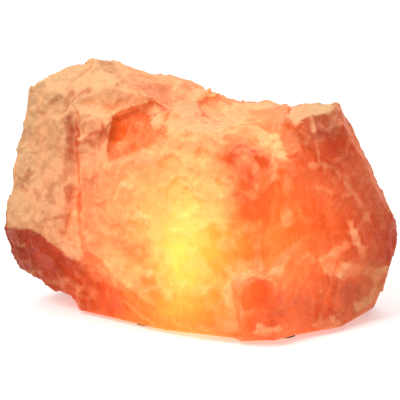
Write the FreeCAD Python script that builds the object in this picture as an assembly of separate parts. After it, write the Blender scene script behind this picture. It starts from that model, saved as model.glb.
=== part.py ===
import FreeCAD, Part

import math
import os

from FreeCAD import Placement, Rotation, Vector

# A salt crystal lamp: a raw block of rock salt with a hole bored up from its underside, and in the hole a
# small lamp holder that two spring-wire wings hold in place. Millimetres, +Z up. The origin is on the axis
# of the hole, at the level of the table. The front of the lamp faces -Y.

# ---- salt crystal ----
light_height = 65.0          # the lumps are broken round this point, at the height of the bulb's glow
crystal_length = 242.0       # over all, from left to right
raw_block = 2.2 * crystal_length  # side of the block that each lump is broken from
bore_radius = 22.0
bore_head_room = 4.2         # space left over the bulb once it is unscrewed
bore_mouth_chamfer = 2.0
cord_channel_width = 10.0
cord_channel_height = 9.0

# ---- pads under the crystal ----
pad_radius = 7.0
pad_thickness = 2.5
pad_places = ((46.0, -32.0), (-36.0, -8.0), (76.0, 30.0), (-62.0, 56.0))

# ---- lamp holder ----
gland_recess = 6.0           # from the underside of the crystal up to the gland's lower end
gland_bore_radius = 3.25     # for a round two-core cord
gland_tail_length = 5.5
gland_tail_radius = 4.6
gland_flange_radius = 7.2
gland_flange_thickness = 3.0
gland_neck_radius = 4.9
gland_barb_height = 1.1
gland_barb_radius = 5.5
gland_tail_flare = 1.0       # the tail widens by this towards the flange
cap_radius = 12.4
cap_height = 14.0
cap_wall = 1.6
cap_floor = 3.0
cap_edge_slope = 2.0
cap_collar_height = 1.6      # where the cap is as wide as the shell
cap_collar_slope = 1.4
spigot_height = 3.0          # the cap's neck that stands inside the shell
spigot_wall = 1.5
shell_radius = 13.5
shell_height = 25.0
shell_wall = 1.8
shell_rim_lip = 1.4
shell_rim_height = 1.6
shell_rim_slope = 0.8
shell_rib_count = 20
shell_rib_depth = 0.5
shell_rib_width = 1.6
shell_rib_height = 13.0
insert_height = 10.0
insert_floor = 3.0
screw_shell_inner = 7.2
screw_shell_wall = 0.4
screw_shell_height = 16.6
strip_thickness = 0.4        # sheet metal of both contacts
contact_rise = 1.2           # the tongue's spring height over the pocket floor
contact_half_width = 1.6
terminal_offset = 6.5        # terminal screws from the axis
terminal_drop = 1.0          # tabs hang this far under the insert
terminal_screw_radius = 1.2
terminal_head_radius = 2.0
terminal_head_height = 1.4
terminal_blind = 1.0         # the blind hole stops this far under the pocket's floor
leg_offset = 4.2             # legs of both contacts from the axis
contact_ring_width = 1.6
tongue_flat = 1.2            # half the flat part of the tongue, under the bulb's tip
tongue_lip_reach = 1.9
tongue_lip_drop = 0.5

# ---- cord grip inside the cap ----
grip_bar_length = 18.0
grip_bar_height = 5.0
grip_bar_thickness = 3.3
grip_bar_face = 1.5          # the bar's back face stands this far behind the axis
grip_post_inner = 6.0
grip_post_outer = 9.2
grip_post_depth = 5.5
grip_post_height = 7.0
grip_screw_offset = 7.4
grip_screw_radius = 0.9
grip_head_radius = 1.5
grip_head_height = 1.0
grip_screw_length = 6.0

# ---- spring-wire wings ----
wing_wire = 0.7              # radius of the wire
wing_half_width = 8.0        # the two legs stand this far to each side of the hinge's middle
wing_pivot_reach = 2.0       # hinge axis out from the shell's face
wing_pivot_drop = 6.0        # hinge axis down from the shell's rim
wing_bow_top = 11.0          # the legs touch the wall from here
wing_bow_foot = 17.0         # down to here, under the hinge
wing_foot_drop = 37.0        # cross bar under the hinge
wing_foot_inset = 1.2        # cross bar in from the hinge, so that fingers can reach it
wing_bend_cut = 1.3          # each bend cuts its corner by this
lug_half_width = 5.0
lug_half_height = 3.4
lug_reach = 4.2
lug_root = 0.9               # depth of the lug inside the shell's wall
pin_half_gap = 2.0           # the wire's two ends stop this far from the lug's middle

# ---- bulb, E14 pygmy ----
bulb_tip_radius = 2.4
bulb_tip_height = 1.0
bulb_tip_flat = 1.4          # radius of the tip's flat end
bulb_tip_slope = 0.5
insulator_top_radius = 5.6
insulator_height = 2.6
bulb_cap_radius = 6.9
bulb_cap_wall = 0.3
bulb_cap_height = 15.0
bulb_cap_lift = 2.6          # from the tip to the cap's lower edge
bulb_cap_flare = 1.3
bulb_cap_flare_height = 1.8
bulb_cap_roll = 0.4          # the lower edge is rolled in round the insulator
bulb_radius = 13.0
bulb_neck_radius = 6.2
bulb_neck_length = 6.0
bulb_shoulder_height = 16.0
bulb_neck_rise = 0.5         # the neck stays straight this far over the cap
bulb_curve_steps = 4         # straight steps in each curve of the glass
bulb_length = 53.5           # tip to top
glass_wall = 0.8
stem_flare_radius = 5.1
stem_height = 14.0
stem_top_radius = 1.9
stem_foot_rise = 1.0         # foot over the open end of the neck
stem_foot_edge = 0.8
stem_waist_share = 0.45      # the flare is drawn in to the top's radius at this share of the height
lead_radius = 0.35
lead_spread = 6.5
lead_rise = 9.0
lead_root_inset = 0.3        # glass left round a lead in the stem's top
lead_knee_out = 0.4
lead_knee_share = 0.35
lead_bend_cut = 0.8
filament_radius = 0.45
filament_bow = 3.5
filament_steps = 6           # straight steps along its arc
support_radius = 0.2
support_shares = (0.33, 0.67)  # places of the hooks along the filament
support_root = (0.5, -0.6)   # where each hook stands in the stem's top
thread_pitch = 2.822
unscrew_turns = 4

# ---- clearances ----
part_clearance = 0.3         # between neighbours that are not one piece
sink = 0.1                   # a piece that is fused on starts this far inside its neighbour
wall_clearance = 0.3         # wings to the bored wall at rest
hinge_clearance = 0.2
contact_gap = 0.3
slip_fit = 0.1               # pieces that are pushed into each other

# ---- heights, from the table up ----
underside_z = pad_thickness
gland_z = underside_z + gland_recess
gland_flange_z = gland_z + gland_tail_length
cap_z = gland_flange_z + gland_flange_thickness
cap_floor_z = cap_z + cap_floor
shell_z = cap_z + cap_height
insert_z = shell_z + spigot_height
pocket_z = insert_z + insert_floor
shell_top_z = shell_z + shell_height
bulb_tip_z = pocket_z + contact_rise + contact_gap
bulb_cap_z = bulb_tip_z + bulb_cap_lift
bulb_cap_top_z = bulb_cap_z + bulb_cap_height
bulb_top_z = bulb_tip_z + bulb_length
unscrew_travel = unscrew_turns * thread_pitch
bore_top_z = bulb_top_z + unscrew_travel + bore_head_room
wing_pivot_x = shell_radius + wing_pivot_reach
wing_pivot_z = shell_top_z - wing_pivot_drop

# Fractures of the crystal: name, azimuth, elevation, reach. A fracture is a flat break that faces the given
# way (azimuth 0 faces front, 90 right, 180 back; elevation tilts it up) at that distance from the glow, in
# thousandths of the crystal's length.
FRONT_LEFT = ("front_left", -22, 5, 153)
TOP_SLOPE = ("top_slope", 57, 71, 259)
FACE_RIGHT = ("face_right", 32, 7, 252)
UNDER_PROW = ("under_prow", 3, -48, 339)

CORE_LUMP = (
    FRONT_LEFT, TOP_SLOPE, FACE_RIGHT, UNDER_PROW,
    ("saddle", 60, 86, 253),
    ("prow", 66, 0, 221),
    ("channel_step", -80, 0, 315),
    ("ledge", -40, 50, 346),
    ("under_front", -21, -46, 295),
    ("under_right", 29, -48, 364),
    ("under_left", -37, -18, 237),
    ("right_inner", 80, 10, 331),
    ("back_left", -150, 8, 273),
    ("back", 180, 14, 273),
    ("back_right", 140, 5, 314),
)
PEAK_LUMP = (
    TOP_SLOPE,
    ("channel", -20, 7, 117),
    ("end_face", -44, 12, 265),
    ("peak_front", -38, 46, 333),
    ("peak_left", -75, 56, 464),
    ("tip_upper", -95, 22, 521),
    ("tip_lower", -85, -22, 502),
    ("step_down", 80, 42, 199),
    ("right_inner", 90, 0, 124),
    ("under_tip", -40, -22, 254),
    ("under_far", -75, -62, 354),
    ("back_left", -138, 4, 417),
    ("back_left_upper", -150, 48, 455),
    ("back", 178, 24, 264),
    ("back_low", 170, -35, 331),
)
SHOULDER_LUMP = (
    FRONT_LEFT, UNDER_PROW,
    ("left_inner", -90, 0, -83),
    ("valley", -62, 34, 25),
    ("front_upper", 34, 16, 268),
    ("front_low", 26, 5, 234),
    ("front_ridge", 46, 12, 316),
    ("front_side", 60, 8, 391),
    ("shoulder_top", -5, 84, 267),
    ("shoulder_back", 180, 64, 273),
    ("shoulder_right", 70, 46, 398),
    ("flank_upper", 85, 30, 413),
    ("flank_lower", 85, -17, 476),
    ("flank_foot", 60, -45, 423),
    ("under_right", 30, -47, 363),
    ("back_right", 140, 5, 331),
    ("back_right_upper", 128, 38, 405),
    ("back_right_low", 150, -40, 380),
    ("back", 180, 12, 248),
)
TOE_LUMP = (
    UNDER_PROW,
    ("left", -66, -4, 34),
    ("front", -2, 3, 226),
    ("top", -12, 50, 53),
    ("right", 44, 6, 270),
    ("under_right", 40, -46, 372),
    ("right_inner", 90, 0, 289),
    ("back_inner", 180, 0, 41),
)

# Wedge of salt that is missing under the ledge, left of the crest. Its sides face outwards, like a lump's.
NOTCH = (
    ("floor", 144, -33, -238),
    ("under_ledge", -144, 64, 287),
    ("left", -90, 10, 268),
    ("right", 80, -12, -88),
)

# Flakes broken out of the faces: name, place of the middle, the way it faces, depth, and radius of its round floor.
FLAKES = (
    ("shelf_hollow", (88.0, -24.0, 27.5), (48, -12), 5.5, 34.0),
    ("flank", (105.0, 7.5, 85.0), (78, 20), 2.6, 60.0),
    ("shoulder", (73.5, -12.5, 121.0), (20, 38), 2.2, 36.0),
    ("crest_right", (39.5, -23.0, 115.5), (10, 62), 1.2, 40.0),
    ("saddle", (22.0, 6.0, 125.5), (30, 84), 2.4, 70.0),
    ("top_slope", (-18.5, 8.0, 138.0), (50, 68), 2.4, 80.0),
    ("under_left", (-67.5, -11.0, 31.0), (-38, -20), 2.6, 60.0),
    ("end_face", (-92.0, 7.0, 95.0), (-48, 14), 2.2, 90.0),
    ("back_left", (-86.0, 58.5, 70.0), (-142, 2), 4.0, 90.0),
    ("back_middle", (-6.0, 61.5, 92.0), (178, 16), 4.0, 80.0),
    ("back_right", (71.5, 45.5, 62.0), (146, 0), 4.0, 80.0),
    ("back_low", (37.5, 69.5, 49.5), (176, 6), 2.4, 60.0),
)


# ---------------------------------------------------------------- helpers
def facing(azimuth, elevation):
    """Unit vector of a face: azimuth 0 is the front (-Y), 90 the right (+X), and elevation tilts it up."""
    a, e = math.radians(azimuth), math.radians(elevation)
    return Vector(math.sin(a) * math.cos(e), -math.cos(a) * math.cos(e), math.sin(e))


def tube(outer, inner, z_low, z_high):
    """Upright ring on the axis of the hole."""
    ring = Part.makeCylinder(outer, z_high - z_low, Vector(0, 0, z_low))
    return ring.cut(Part.makeCylinder(inner, z_high - z_low, Vector(0, 0, z_low)))


def disc(radius, z_low, z_high, x=0.0, y=0.0):
    """Upright solid cylinder."""
    return Part.makeCylinder(radius, z_high - z_low, Vector(x, y, z_low))


def block(low, high):
    """Box between two corners."""
    return Part.makeBox(high[0] - low[0], high[1] - low[1], high[2] - low[2], Vector(*low))


def turned(profile):
    """Closed (r, z) profile of lines turned about the axis of the hole."""
    points = [Vector(r, 0, z) for r, z in profile]
    wire = Part.makePolygon(points + points[:1])
    return Part.Face(wire).revolve(Vector(0, 0, 0), Vector(0, 0, 1), 360)


def rod(start, end, radius):
    """Straight round rod from one point to another."""
    run = end - start
    return Part.makeCylinder(radius, run.Length, start, run)


def bent_wire(points, cut, radius):
    """Round wire along straight runs, with each corner cut off by one short run so that it reads as a bend."""
    corners = [points[0]]
    for before, corner, after in zip(points, points[1:], points[2:]):
        corners.append(corner + (before - corner).normalize() * cut)
        corners.append(corner + (after - corner).normalize() * cut)
    return mitred_rod(corners + [points[-1]], radius)


def mitred_rod(points, radius):
    """Round rod along straight runs that meet in mitres."""
    path = Part.makePolygon(points)
    section = Part.Wire(Part.makeCircle(radius, points[0], points[1] - points[0]))
    sweep = Part.BRepOffsetAPI.MakePipeShell(path)
    sweep.setTransitionMode(1)
    sweep.add(section, False, False)
    sweep.build()
    sweep.makeSolid()
    return sweep.shape()


def bent_strip(points, thickness, half_width):
    """Sheet-metal strip in the XZ plane through the middle of its thickness, with round bends."""
    strip = None
    for start, end in zip(points, points[1:]):
        run = end - start
        flat = Part.makeBox(thickness, 2 * half_width, run.Length, Vector(-thickness / 2, -half_width, 0))
        flat.Placement = Placement(start, Rotation(Vector(0, 0, 1), run))
        strip = flat if strip is None else strip.fuse(flat)
    for bend in points[1:-1]:
        knuckle = Part.makeCylinder(thickness / 2, 2 * half_width, bend - Vector(0, half_width, 0), Vector(0, 1, 0))
        strip = strip.fuse(knuckle)
    return strip.removeSplitter()


def fuse_all(shapes):
    """One solid from shapes that touch or overlap."""
    return shapes[0].fuse(list(shapes[1:])).removeSplitter() if len(shapes) > 1 else shapes[0]


def save(name, shape):
    """Write one sub-part, and say its size in solids and volume."""
    shape.exportStep("parts/%s.step" % name)
    print("%-20s solids %d  volume %.1f  valid %s" % (name, len(shape.Solids), shape.Volume, shape.isValid()))


# ---------------------------------------------------------------- salt crystal
def lump(fractures):
    """Convex lump left of a raw block once it is broken along every fracture."""
    glow = Vector(0, 0, light_height)
    half = raw_block / 2
    body = Part.makeBox(raw_block, raw_block, raw_block, glow - Vector(half, half, half))
    for _, azimuth, elevation, reach in fractures:
        outward = facing(azimuth, elevation)
        waste = Part.makeBox(3 * raw_block, 3 * raw_block, raw_block, Vector(-1.5 * raw_block, -1.5 * raw_block, 0))
        waste.Placement = Placement(glow + outward * (reach * crystal_length / 1000),
                                    Rotation(Vector(0, 0, 1), outward))
        body = body.cut(waste)
    return body


def flake(place, way, depth, radius):
    """Lens of salt that breaks off round a place on the surface; its floor is part of a sphere."""
    middle = Vector(*place)
    floor = Part.makeSphere(radius, middle + facing(*way) * (radius - depth))
    return floor.common(Part.makeSphere(1.5 * math.sqrt(2 * radius * depth), middle))


def salt_crystal():
    """The rock: four lumps in one, sawn flat below, bored, with a channel for the cord out of the back."""
    rock = fuse_all([lump(CORE_LUMP), lump(PEAK_LUMP), lump(SHOULDER_LUMP), lump(TOE_LUMP)])
    half = raw_block / 2
    sawn_off = block((-half, -half, -raw_block), (half, half, underside_z))
    bore = disc(bore_radius, 0, bore_top_z)
    mouth = Part.makeCone(bore_radius + bore_mouth_chamfer, bore_radius, bore_mouth_chamfer,
                          Vector(0, 0, underside_z))
    side = cord_channel_width / 2
    spring_line = underside_z + cord_channel_height - side
    channel = block((-side, 0, 0), (side, half, spring_line))
    vault = Part.makeCylinder(side, half, Vector(0, 0, spring_line), Vector(0, 1, 0))
    waste = [lump(NOTCH)] + [flake(*entry[1:]) for entry in FLAKES]
    return rock.cut(waste + [sawn_off, bore, mouth, channel.fuse(vault)]).removeSplitter()


def base_pads():
    """Four soft stick-on pads under the crystal."""
    return Part.makeCompound([disc(pad_radius, 0, pad_thickness, x, y) for x, y in pad_places])


# ---------------------------------------------------------------- lamp holder
def cord_gland():
    """Soft bush that the cord enters by: tapered tail, flange, neck through the cap's floor, and barb."""
    neck_top = cap_floor_z + slip_fit
    return turned([
        (gland_bore_radius, gland_z), (gland_tail_radius, gland_z),
        (gland_tail_radius + gland_tail_flare, gland_flange_z), (gland_flange_radius, gland_flange_z),
        (gland_flange_radius, cap_z), (gland_neck_radius, cap_z), (gland_neck_radius, neck_top),
        (gland_barb_radius, neck_top), (gland_neck_radius, neck_top + gland_barb_height),
        (gland_bore_radius, neck_top + gland_barb_height)])


def grip_screw_places():
    """X of the two cord grip screws."""
    return (-grip_screw_offset, grip_screw_offset)


def holder_cap():
    """Lower cup of the holder, with the neck that stands in the shell and two posts for the cord grip."""
    floor_hole = gland_neck_radius + slip_fit
    spigot_outer = shell_radius - shell_wall - part_clearance
    collar_z = shell_z - cap_collar_height
    cup = turned([
        (floor_hole, cap_z), (cap_radius - cap_edge_slope, cap_z), (cap_radius, cap_z + cap_edge_slope),
        (cap_radius, collar_z - cap_collar_slope), (shell_radius, collar_z), (shell_radius, shell_z),
        (spigot_outer, shell_z), (spigot_outer, insert_z), (spigot_outer - spigot_wall, insert_z),
        (spigot_outer - spigot_wall, collar_z), (cap_radius - cap_wall, collar_z),
        (cap_radius - cap_wall, cap_floor_z), (floor_hole, cap_floor_z)])
    posts = []
    for side in (-1, 1):
        x_low, x_high = sorted((side * grip_post_inner, side * grip_post_outer))
        posts.append(block((x_low, grip_bar_face - grip_post_depth, cap_floor_z - sink),
                           (x_high, grip_bar_face, cap_floor_z + grip_post_height)))
    cup = fuse_all([cup] + posts)
    return cup.cut([grip_screw_shank(x, grip_screw_radius + slip_fit / 2) for x in grip_screw_places()])


def grip_screw_z():
    """Height of the cord grip screws."""
    return cap_floor_z + grip_post_height - grip_bar_height / 2


def grip_screw_shank(x, radius):
    """Shank of one cord grip screw, or the hole for it."""
    front = grip_bar_face + grip_bar_thickness
    return Part.makeCylinder(radius, grip_screw_length, Vector(x, front, grip_screw_z()), Vector(0, -1, 0))


def cord_grip_bar():
    """Saddle that presses the cord against the two posts."""
    top = cap_floor_z + grip_post_height
    bar = block((-grip_bar_length / 2, grip_bar_face, top - grip_bar_height),
                (grip_bar_length / 2, grip_bar_face + grip_bar_thickness, top))
    groove = disc(gland_bore_radius, top - grip_bar_height, top)
    holes = [grip_screw_shank(x, grip_screw_radius + slip_fit / 2) for x in grip_screw_places()]
    return bar.cut([groove] + holes)


def grip_screws():
    """Two pan-head screws of the cord grip."""
    front = grip_bar_face + grip_bar_thickness
    screws = []
    for x in grip_screw_places():
        head = Part.makeCylinder(grip_head_radius, grip_head_height, Vector(x, front, grip_screw_z()),
                                 Vector(0, 1, 0))
        screws.append(grip_screw_shank(x, grip_screw_radius).fuse(head).removeSplitter())
    return Part.makeCompound(screws)


def holder_shell():
    """Outer shell with a ribbed grip band, a rim, and an eyed lug on each side for the wings."""
    inner = shell_radius - shell_wall
    rim_z = shell_top_z - shell_rim_height
    barrel = turned([
        (inner, shell_z), (shell_radius, shell_z), (shell_radius, shell_top_z - shell_rim_slope),
        (shell_radius - shell_rim_slope, shell_top_z), (inner - shell_rim_lip, shell_top_z),
        (inner - shell_rim_lip, rim_z), (inner, rim_z)])
    ribs = []
    for i in range(shell_rib_count):
        rib = block((shell_radius - sink, -shell_rib_width / 2, shell_z),
                    (shell_radius + shell_rib_depth, shell_rib_width / 2, shell_z + shell_rib_height))
        rib.rotate(Vector(0, 0, 0), Vector(0, 0, 1), 360.0 * i / shell_rib_count)
        ribs.append(rib)
    body = fuse_all([barrel, lug(-1), lug(1)] + ribs)
    return body.cut([lug_eye(-1), lug_eye(1)])


def lug(side):
    """Lug on one side of the shell, rounded off at its outer end."""
    x_low, x_high = sorted((side * (shell_radius - lug_root), side * (shell_radius + lug_reach)))
    body = block((x_low, -lug_half_width, wing_pivot_z - lug_half_height),
                 (x_high, lug_half_width, wing_pivot_z + lug_half_height))
    tip = side * (shell_radius + lug_reach)
    outer_edges = [edge for edge in body.Edges
                   if abs(edge.Vertexes[0].X - tip) < sink and abs(edge.Vertexes[-1].X - tip) < sink
                   and abs(edge.Vertexes[0].Z - edge.Vertexes[-1].Z) < sink]
    return body.makeFillet(lug_half_height - wing_wire, outer_edges)


def lug_eye(side):
    """Hole through one lug for the wing's two ends."""
    length = 2 * lug_half_width + 2
    return Part.makeCylinder(wing_wire + hinge_clearance, length,
                             Vector(side * wing_pivot_x, -length / 2, wing_pivot_z), Vector(0, 1, 0))


def holder_insert():
    """Ceramic core: a pocket for the screw shell, slots for the contacts and blind holes for the screws."""
    outer = shell_radius - shell_wall - part_clearance
    pocket = screw_shell_inner + screw_shell_wall + slip_fit
    core = disc(outer, insert_z, insert_z + insert_height)
    cuts = [disc(pocket, pocket_z, insert_z + insert_height)]
    half = contact_half_width + slip_fit
    leg = strip_thickness / 2 + slip_fit
    for side in (-1, 1):
        x = side * leg_offset
        cuts.append(block((x - leg, -half, insert_z), (x + leg, half, pocket_z)))
        cuts.append(disc(terminal_screw_radius + slip_fit, insert_z, pocket_z - terminal_blind,
                         side * terminal_offset))
    return core.cut(cuts)


def contact_leg(side):
    """Leg of a contact through the insert's floor, and the tab with its screw hole below it."""
    tab_z = insert_z - terminal_drop
    middle = pocket_z + strip_thickness / 2
    tab_end = side * (terminal_offset + terminal_head_radius)
    strip = bent_strip([Vector(tab_end, 0, tab_z), Vector(side * leg_offset, 0, tab_z),
                        Vector(side * leg_offset, 0, middle)], strip_thickness, contact_half_width)
    return strip.cut(disc(terminal_screw_radius + slip_fit, tab_z - 1, tab_z + 1, side * terminal_offset))


def side_contact():
    """Contact under the screw shell: a ring on the pocket's floor and a leg down to its terminal, on the left."""
    ring_inner = screw_shell_inner - contact_ring_width
    ring = tube(screw_shell_inner + screw_shell_wall, ring_inner, pocket_z, pocket_z + strip_thickness)
    bridge = block((-(ring_inner + contact_ring_width / 2), -contact_half_width, pocket_z),
                   (strip_thickness / 2 - leg_offset, contact_half_width, pocket_z + strip_thickness))
    return fuse_all([ring, bridge, contact_leg(-1)])


def centre_contact():
    """Spring tongue under the bulb's tip, with its leg down to the other terminal, on the right."""
    middle = pocket_z + strip_thickness / 2
    tip = pocket_z + contact_rise - strip_thickness / 2
    tongue = bent_strip([Vector(leg_offset, 0, middle), Vector(tongue_flat, 0, tip), Vector(-tongue_flat, 0, tip),
                         Vector(-tongue_lip_reach, 0, tip - tongue_lip_drop)], strip_thickness,
                        contact_half_width)
    return fuse_all([tongue, contact_leg(1)])


def terminal_screws():
    """Two terminal screws, driven up from below through the tabs."""
    tab_bottom = insert_z - terminal_drop - strip_thickness / 2
    shank_top = pocket_z - terminal_blind - 2 * slip_fit
    screws = []
    for x in (-terminal_offset, terminal_offset):
        head = disc(terminal_head_radius, tab_bottom - terminal_head_height, tab_bottom, x)
        screws.append(head.fuse(disc(terminal_screw_radius, tab_bottom, shank_top, x)).removeSplitter())
    return Part.makeCompound(screws)


def screw_shell():
    """Thin brass sleeve that the bulb's cap screws into; its thread is left plain."""
    low = pocket_z + strip_thickness
    return tube(screw_shell_inner + screw_shell_wall, screw_shell_inner, low, low + screw_shell_height)


def clip_wing(side):
    """Spring-wire wing: two ends in the lug's eye, legs that bow out to the wall, and a cross bar for fingers."""
    reach = bore_radius - wall_clearance - wing_wire
    bow = math.sqrt(reach ** 2 - wing_half_width ** 2)
    profile = ((wing_pivot_x, 0.0), (bow, -wing_bow_top), (bow, -wing_bow_foot),
               (wing_pivot_x - wing_foot_inset, -wing_foot_drop))
    front = [Vector(side * x, -wing_half_width, wing_pivot_z + z) for x, z in profile]
    back = [Vector(p.x, -p.y, p.z) for p in reversed(front)]
    first = Vector(side * wing_pivot_x, -pin_half_gap, wing_pivot_z)
    last = Vector(side * wing_pivot_x, pin_half_gap, wing_pivot_z)
    return bent_wire([first] + front + back + [last], wing_bend_cut, wing_wire)


# ---------------------------------------------------------------- bulb
def bulb_tip_contact():
    """Solder tip under the cap."""
    top = bulb_tip_z + bulb_tip_height
    return turned([(0, bulb_tip_z), (bulb_tip_flat, bulb_tip_z), (bulb_tip_radius, bulb_tip_z + bulb_tip_slope),
                   (bulb_tip_radius, top), (0, top)])


def bulb_insulator():
    """Black glass cone between tip and cap, with a step that the cap's lower edge grips."""
    low = bulb_tip_z + bulb_tip_height
    edge = bulb_cap_radius - bulb_cap_wall - slip_fit
    neck = insulator_top_radius - bulb_cap_roll
    step_z = bulb_cap_z + bulb_cap_wall + slip_fit
    return turned([(0, low), (bulb_tip_radius, low), (neck, bulb_cap_z), (neck, step_z), (edge, step_z),
                   (edge, low + insulator_height), (0, low + insulator_height)])


def bulb_cap():
    """Screw cap of the bulb, plain outside, rolled in under the insulator and flared to the glass."""
    inner = bulb_cap_radius - bulb_cap_wall
    flare = bulb_cap_radius + bulb_cap_flare
    flare_z = bulb_cap_top_z - bulb_cap_flare_height
    mouth = insulator_top_radius - bulb_cap_roll + slip_fit
    return turned([
        (mouth, bulb_cap_z), (bulb_cap_radius - bulb_cap_roll, bulb_cap_z),
        (bulb_cap_radius, bulb_cap_z + bulb_cap_roll), (bulb_cap_radius, flare_z), (flare, bulb_cap_top_z),
        (flare - bulb_cap_wall, bulb_cap_top_z), (inner, flare_z), (inner, bulb_cap_z + bulb_cap_wall),
        (mouth, bulb_cap_z + bulb_cap_wall)])


def bulb_outline(inset):
    """(r, z) points of the glass, from the neck's foot over shoulder and dome to the axis, moved in by inset."""
    neck, belly = bulb_neck_radius - inset, bulb_radius - inset
    neck_top = bulb_cap_top_z + bulb_neck_rise
    centre_z = bulb_top_z - bulb_radius
    shoulder = []
    dome = []
    for i in range(bulb_curve_steps + 1):
        share = i / bulb_curve_steps
        ease = (1 - math.cos(math.pi * share)) / 2
        shoulder.append((neck + (belly - neck) * ease, neck_top + bulb_shoulder_height * share))
        turn = math.pi / 2 * share
        dome.append((belly * math.cos(turn), centre_z + belly * math.sin(turn)))
    dome[-1] = (0.0, centre_z + belly)
    return [(neck, bulb_cap_top_z - bulb_neck_length)] + shoulder + dome


def bulb_glass():
    """Blown glass envelope with an open neck."""
    return turned(bulb_outline(0.0) + bulb_outline(glass_wall)[::-1])


def stem_foot_z():
    """Height of the stem's flared foot, inside the neck of the glass."""
    return bulb_cap_top_z - bulb_neck_length + stem_foot_rise


def bulb_stem():
    """Glass mount inside the neck: a flared foot drawn up to a pinched top."""
    low = stem_foot_z()
    top = low + stem_height
    return turned([(0, low), (stem_flare_radius, low), (stem_flare_radius, low + stem_foot_edge),
                   (stem_top_radius, low + stem_height * stem_waist_share), (stem_top_radius, top), (0, top)])


def filament_z():
    """Height of the leads' outer ends."""
    return stem_foot_z() + stem_height + lead_rise


def lead_wires():
    """Two stout wires from the stem's top out to the filament's ends."""
    low = stem_foot_z() + stem_height
    wires = []
    for side in (-1, 1):
        root = Vector(side * (stem_top_radius - lead_radius - lead_root_inset), 0, low)
        knee = root + Vector(side * lead_knee_out, 0, lead_rise * lead_knee_share)
        end = Vector(side * lead_spread, 0, filament_z())
        wires.append(bent_wire([root, knee, end], lead_bend_cut, lead_radius))
    return Part.makeCompound(wires)


def filament_point(share):
    """Point of the filament's middle line, a shallow arc that bows to the front; share runs from 0 to 1."""
    radius = (lead_spread ** 2 + filament_bow ** 2) / (2 * filament_bow)
    turn = math.asin(lead_spread / radius) * (2 * share - 1)
    level = filament_z() + lead_radius + filament_radius
    return Vector(radius * math.sin(turn), radius - filament_bow - radius * math.cos(turn), level)


def filament():
    """Coiled filament as one fine rod along its arc."""
    points = [filament_point(i / filament_steps) for i in range(filament_steps + 1)]
    return mitred_rod(points, filament_radius)


def support_wires():
    """Two fine hooks that carry the filament between its ends."""
    low = stem_foot_z() + stem_height
    hooks = []
    for share in support_shares:
        top = filament_point(share)
        root = Vector(math.copysign(support_root[0], top.x), support_root[1], low)
        hooks.append(rod(root, Vector(top.x, top.y, top.z - filament_radius), support_radius))
    return Part.makeCompound(hooks)


# ---------------------------------------------------------------- all sub-parts
def main():
    """Build every sub-part and write it to its own file."""
    os.makedirs("parts", exist_ok=True)
    for name, shape in (
            ("salt_crystal", salt_crystal()),
            ("base_pads", base_pads()),
            ("cord_gland", cord_gland()),
            ("holder_cap", holder_cap()),
            ("cord_grip_bar", cord_grip_bar()),
            ("grip_screws", grip_screws()),
            ("holder_shell", holder_shell()),
            ("holder_insert", holder_insert()),
            ("screw_shell", screw_shell()),
            ("side_contact", side_contact()),
            ("centre_contact", centre_contact()),
            ("terminal_screws", terminal_screws()),
            ("clip_wing_left", clip_wing(-1)),
            ("clip_wing_right", clip_wing(1)),
            ("bulb_tip_contact", bulb_tip_contact()),
            ("bulb_insulator", bulb_insulator()),
            ("bulb_cap", bulb_cap()),
            ("bulb_glass", bulb_glass()),
            ("bulb_stem", bulb_stem()),
            ("lead_wires", lead_wires()),
            ("support_wires", support_wires()),
            ("filament", filament())):
        save(name, shape)


main()
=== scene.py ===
"""Looks of a salt crystal lamp: a broken block of rock salt that glows from a small bulb in a bored hole.

Everything is in metres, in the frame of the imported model. The crystal's skin is the CAD solid with an even
mesh, worn by small flakes, and how much light reaches each point of it is worked out from the bulb's place.
"""
from __future__ import annotations

import logging
import math
from dataclasses import dataclass, field
from enum import Enum
from typing import Any, Callable, Iterator, Optional, Sequence

import bmesh
import bpy
import numpy as np
from mathutils import Matrix, Vector, noise
from mathutils.bvhtree import BVHTree
from mathutils.kdtree import KDTree

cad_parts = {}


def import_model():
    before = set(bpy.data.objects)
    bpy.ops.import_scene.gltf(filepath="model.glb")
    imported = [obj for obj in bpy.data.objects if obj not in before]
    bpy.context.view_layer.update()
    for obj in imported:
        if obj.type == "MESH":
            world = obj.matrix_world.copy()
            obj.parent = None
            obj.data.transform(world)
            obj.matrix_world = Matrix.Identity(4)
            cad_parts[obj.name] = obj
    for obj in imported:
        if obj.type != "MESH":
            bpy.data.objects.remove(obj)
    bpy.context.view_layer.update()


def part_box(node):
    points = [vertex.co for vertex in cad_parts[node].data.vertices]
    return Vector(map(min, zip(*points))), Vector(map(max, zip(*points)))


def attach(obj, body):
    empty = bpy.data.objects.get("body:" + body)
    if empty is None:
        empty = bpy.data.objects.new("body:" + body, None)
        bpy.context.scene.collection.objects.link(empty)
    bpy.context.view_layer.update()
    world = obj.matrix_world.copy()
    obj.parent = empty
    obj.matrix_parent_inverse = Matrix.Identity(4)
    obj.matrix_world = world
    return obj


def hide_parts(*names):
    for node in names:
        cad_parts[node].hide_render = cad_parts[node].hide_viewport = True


log = logging.getLogger("salt_lamp")
MM = 0.001
Array = np.ndarray
Piece = bpy.types.Object
Mesh = bpy.types.Mesh
Material = bpy.types.Material
Tree = bpy.types.NodeTree
Node = bpy.types.Node
Socket = bpy.types.NodeSocket
Colour = tuple[float, float, float, float]
Pair = tuple[float, float]
Triple = tuple[float, float, float]


# ------------------------------------------------------------------ shared tools
def linear(hex_colour: str) -> Colour:
    """Turn an sRGB hex colour into linear RGBA.

    Args:
        hex_colour: six hex digits, such as "F2C8A0".

    Returns:
        The linear colour that the shaders work in.
    """
    values = []
    for i in (0, 2, 4):
        c = int(hex_colour[i:i + 2], 16) / 255
        values.append(c / 12.92 if c <= 0.04045 else ((c + 0.055) / 1.055) ** 2.4)
    return (values[0], values[1], values[2], 1.0)


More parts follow.
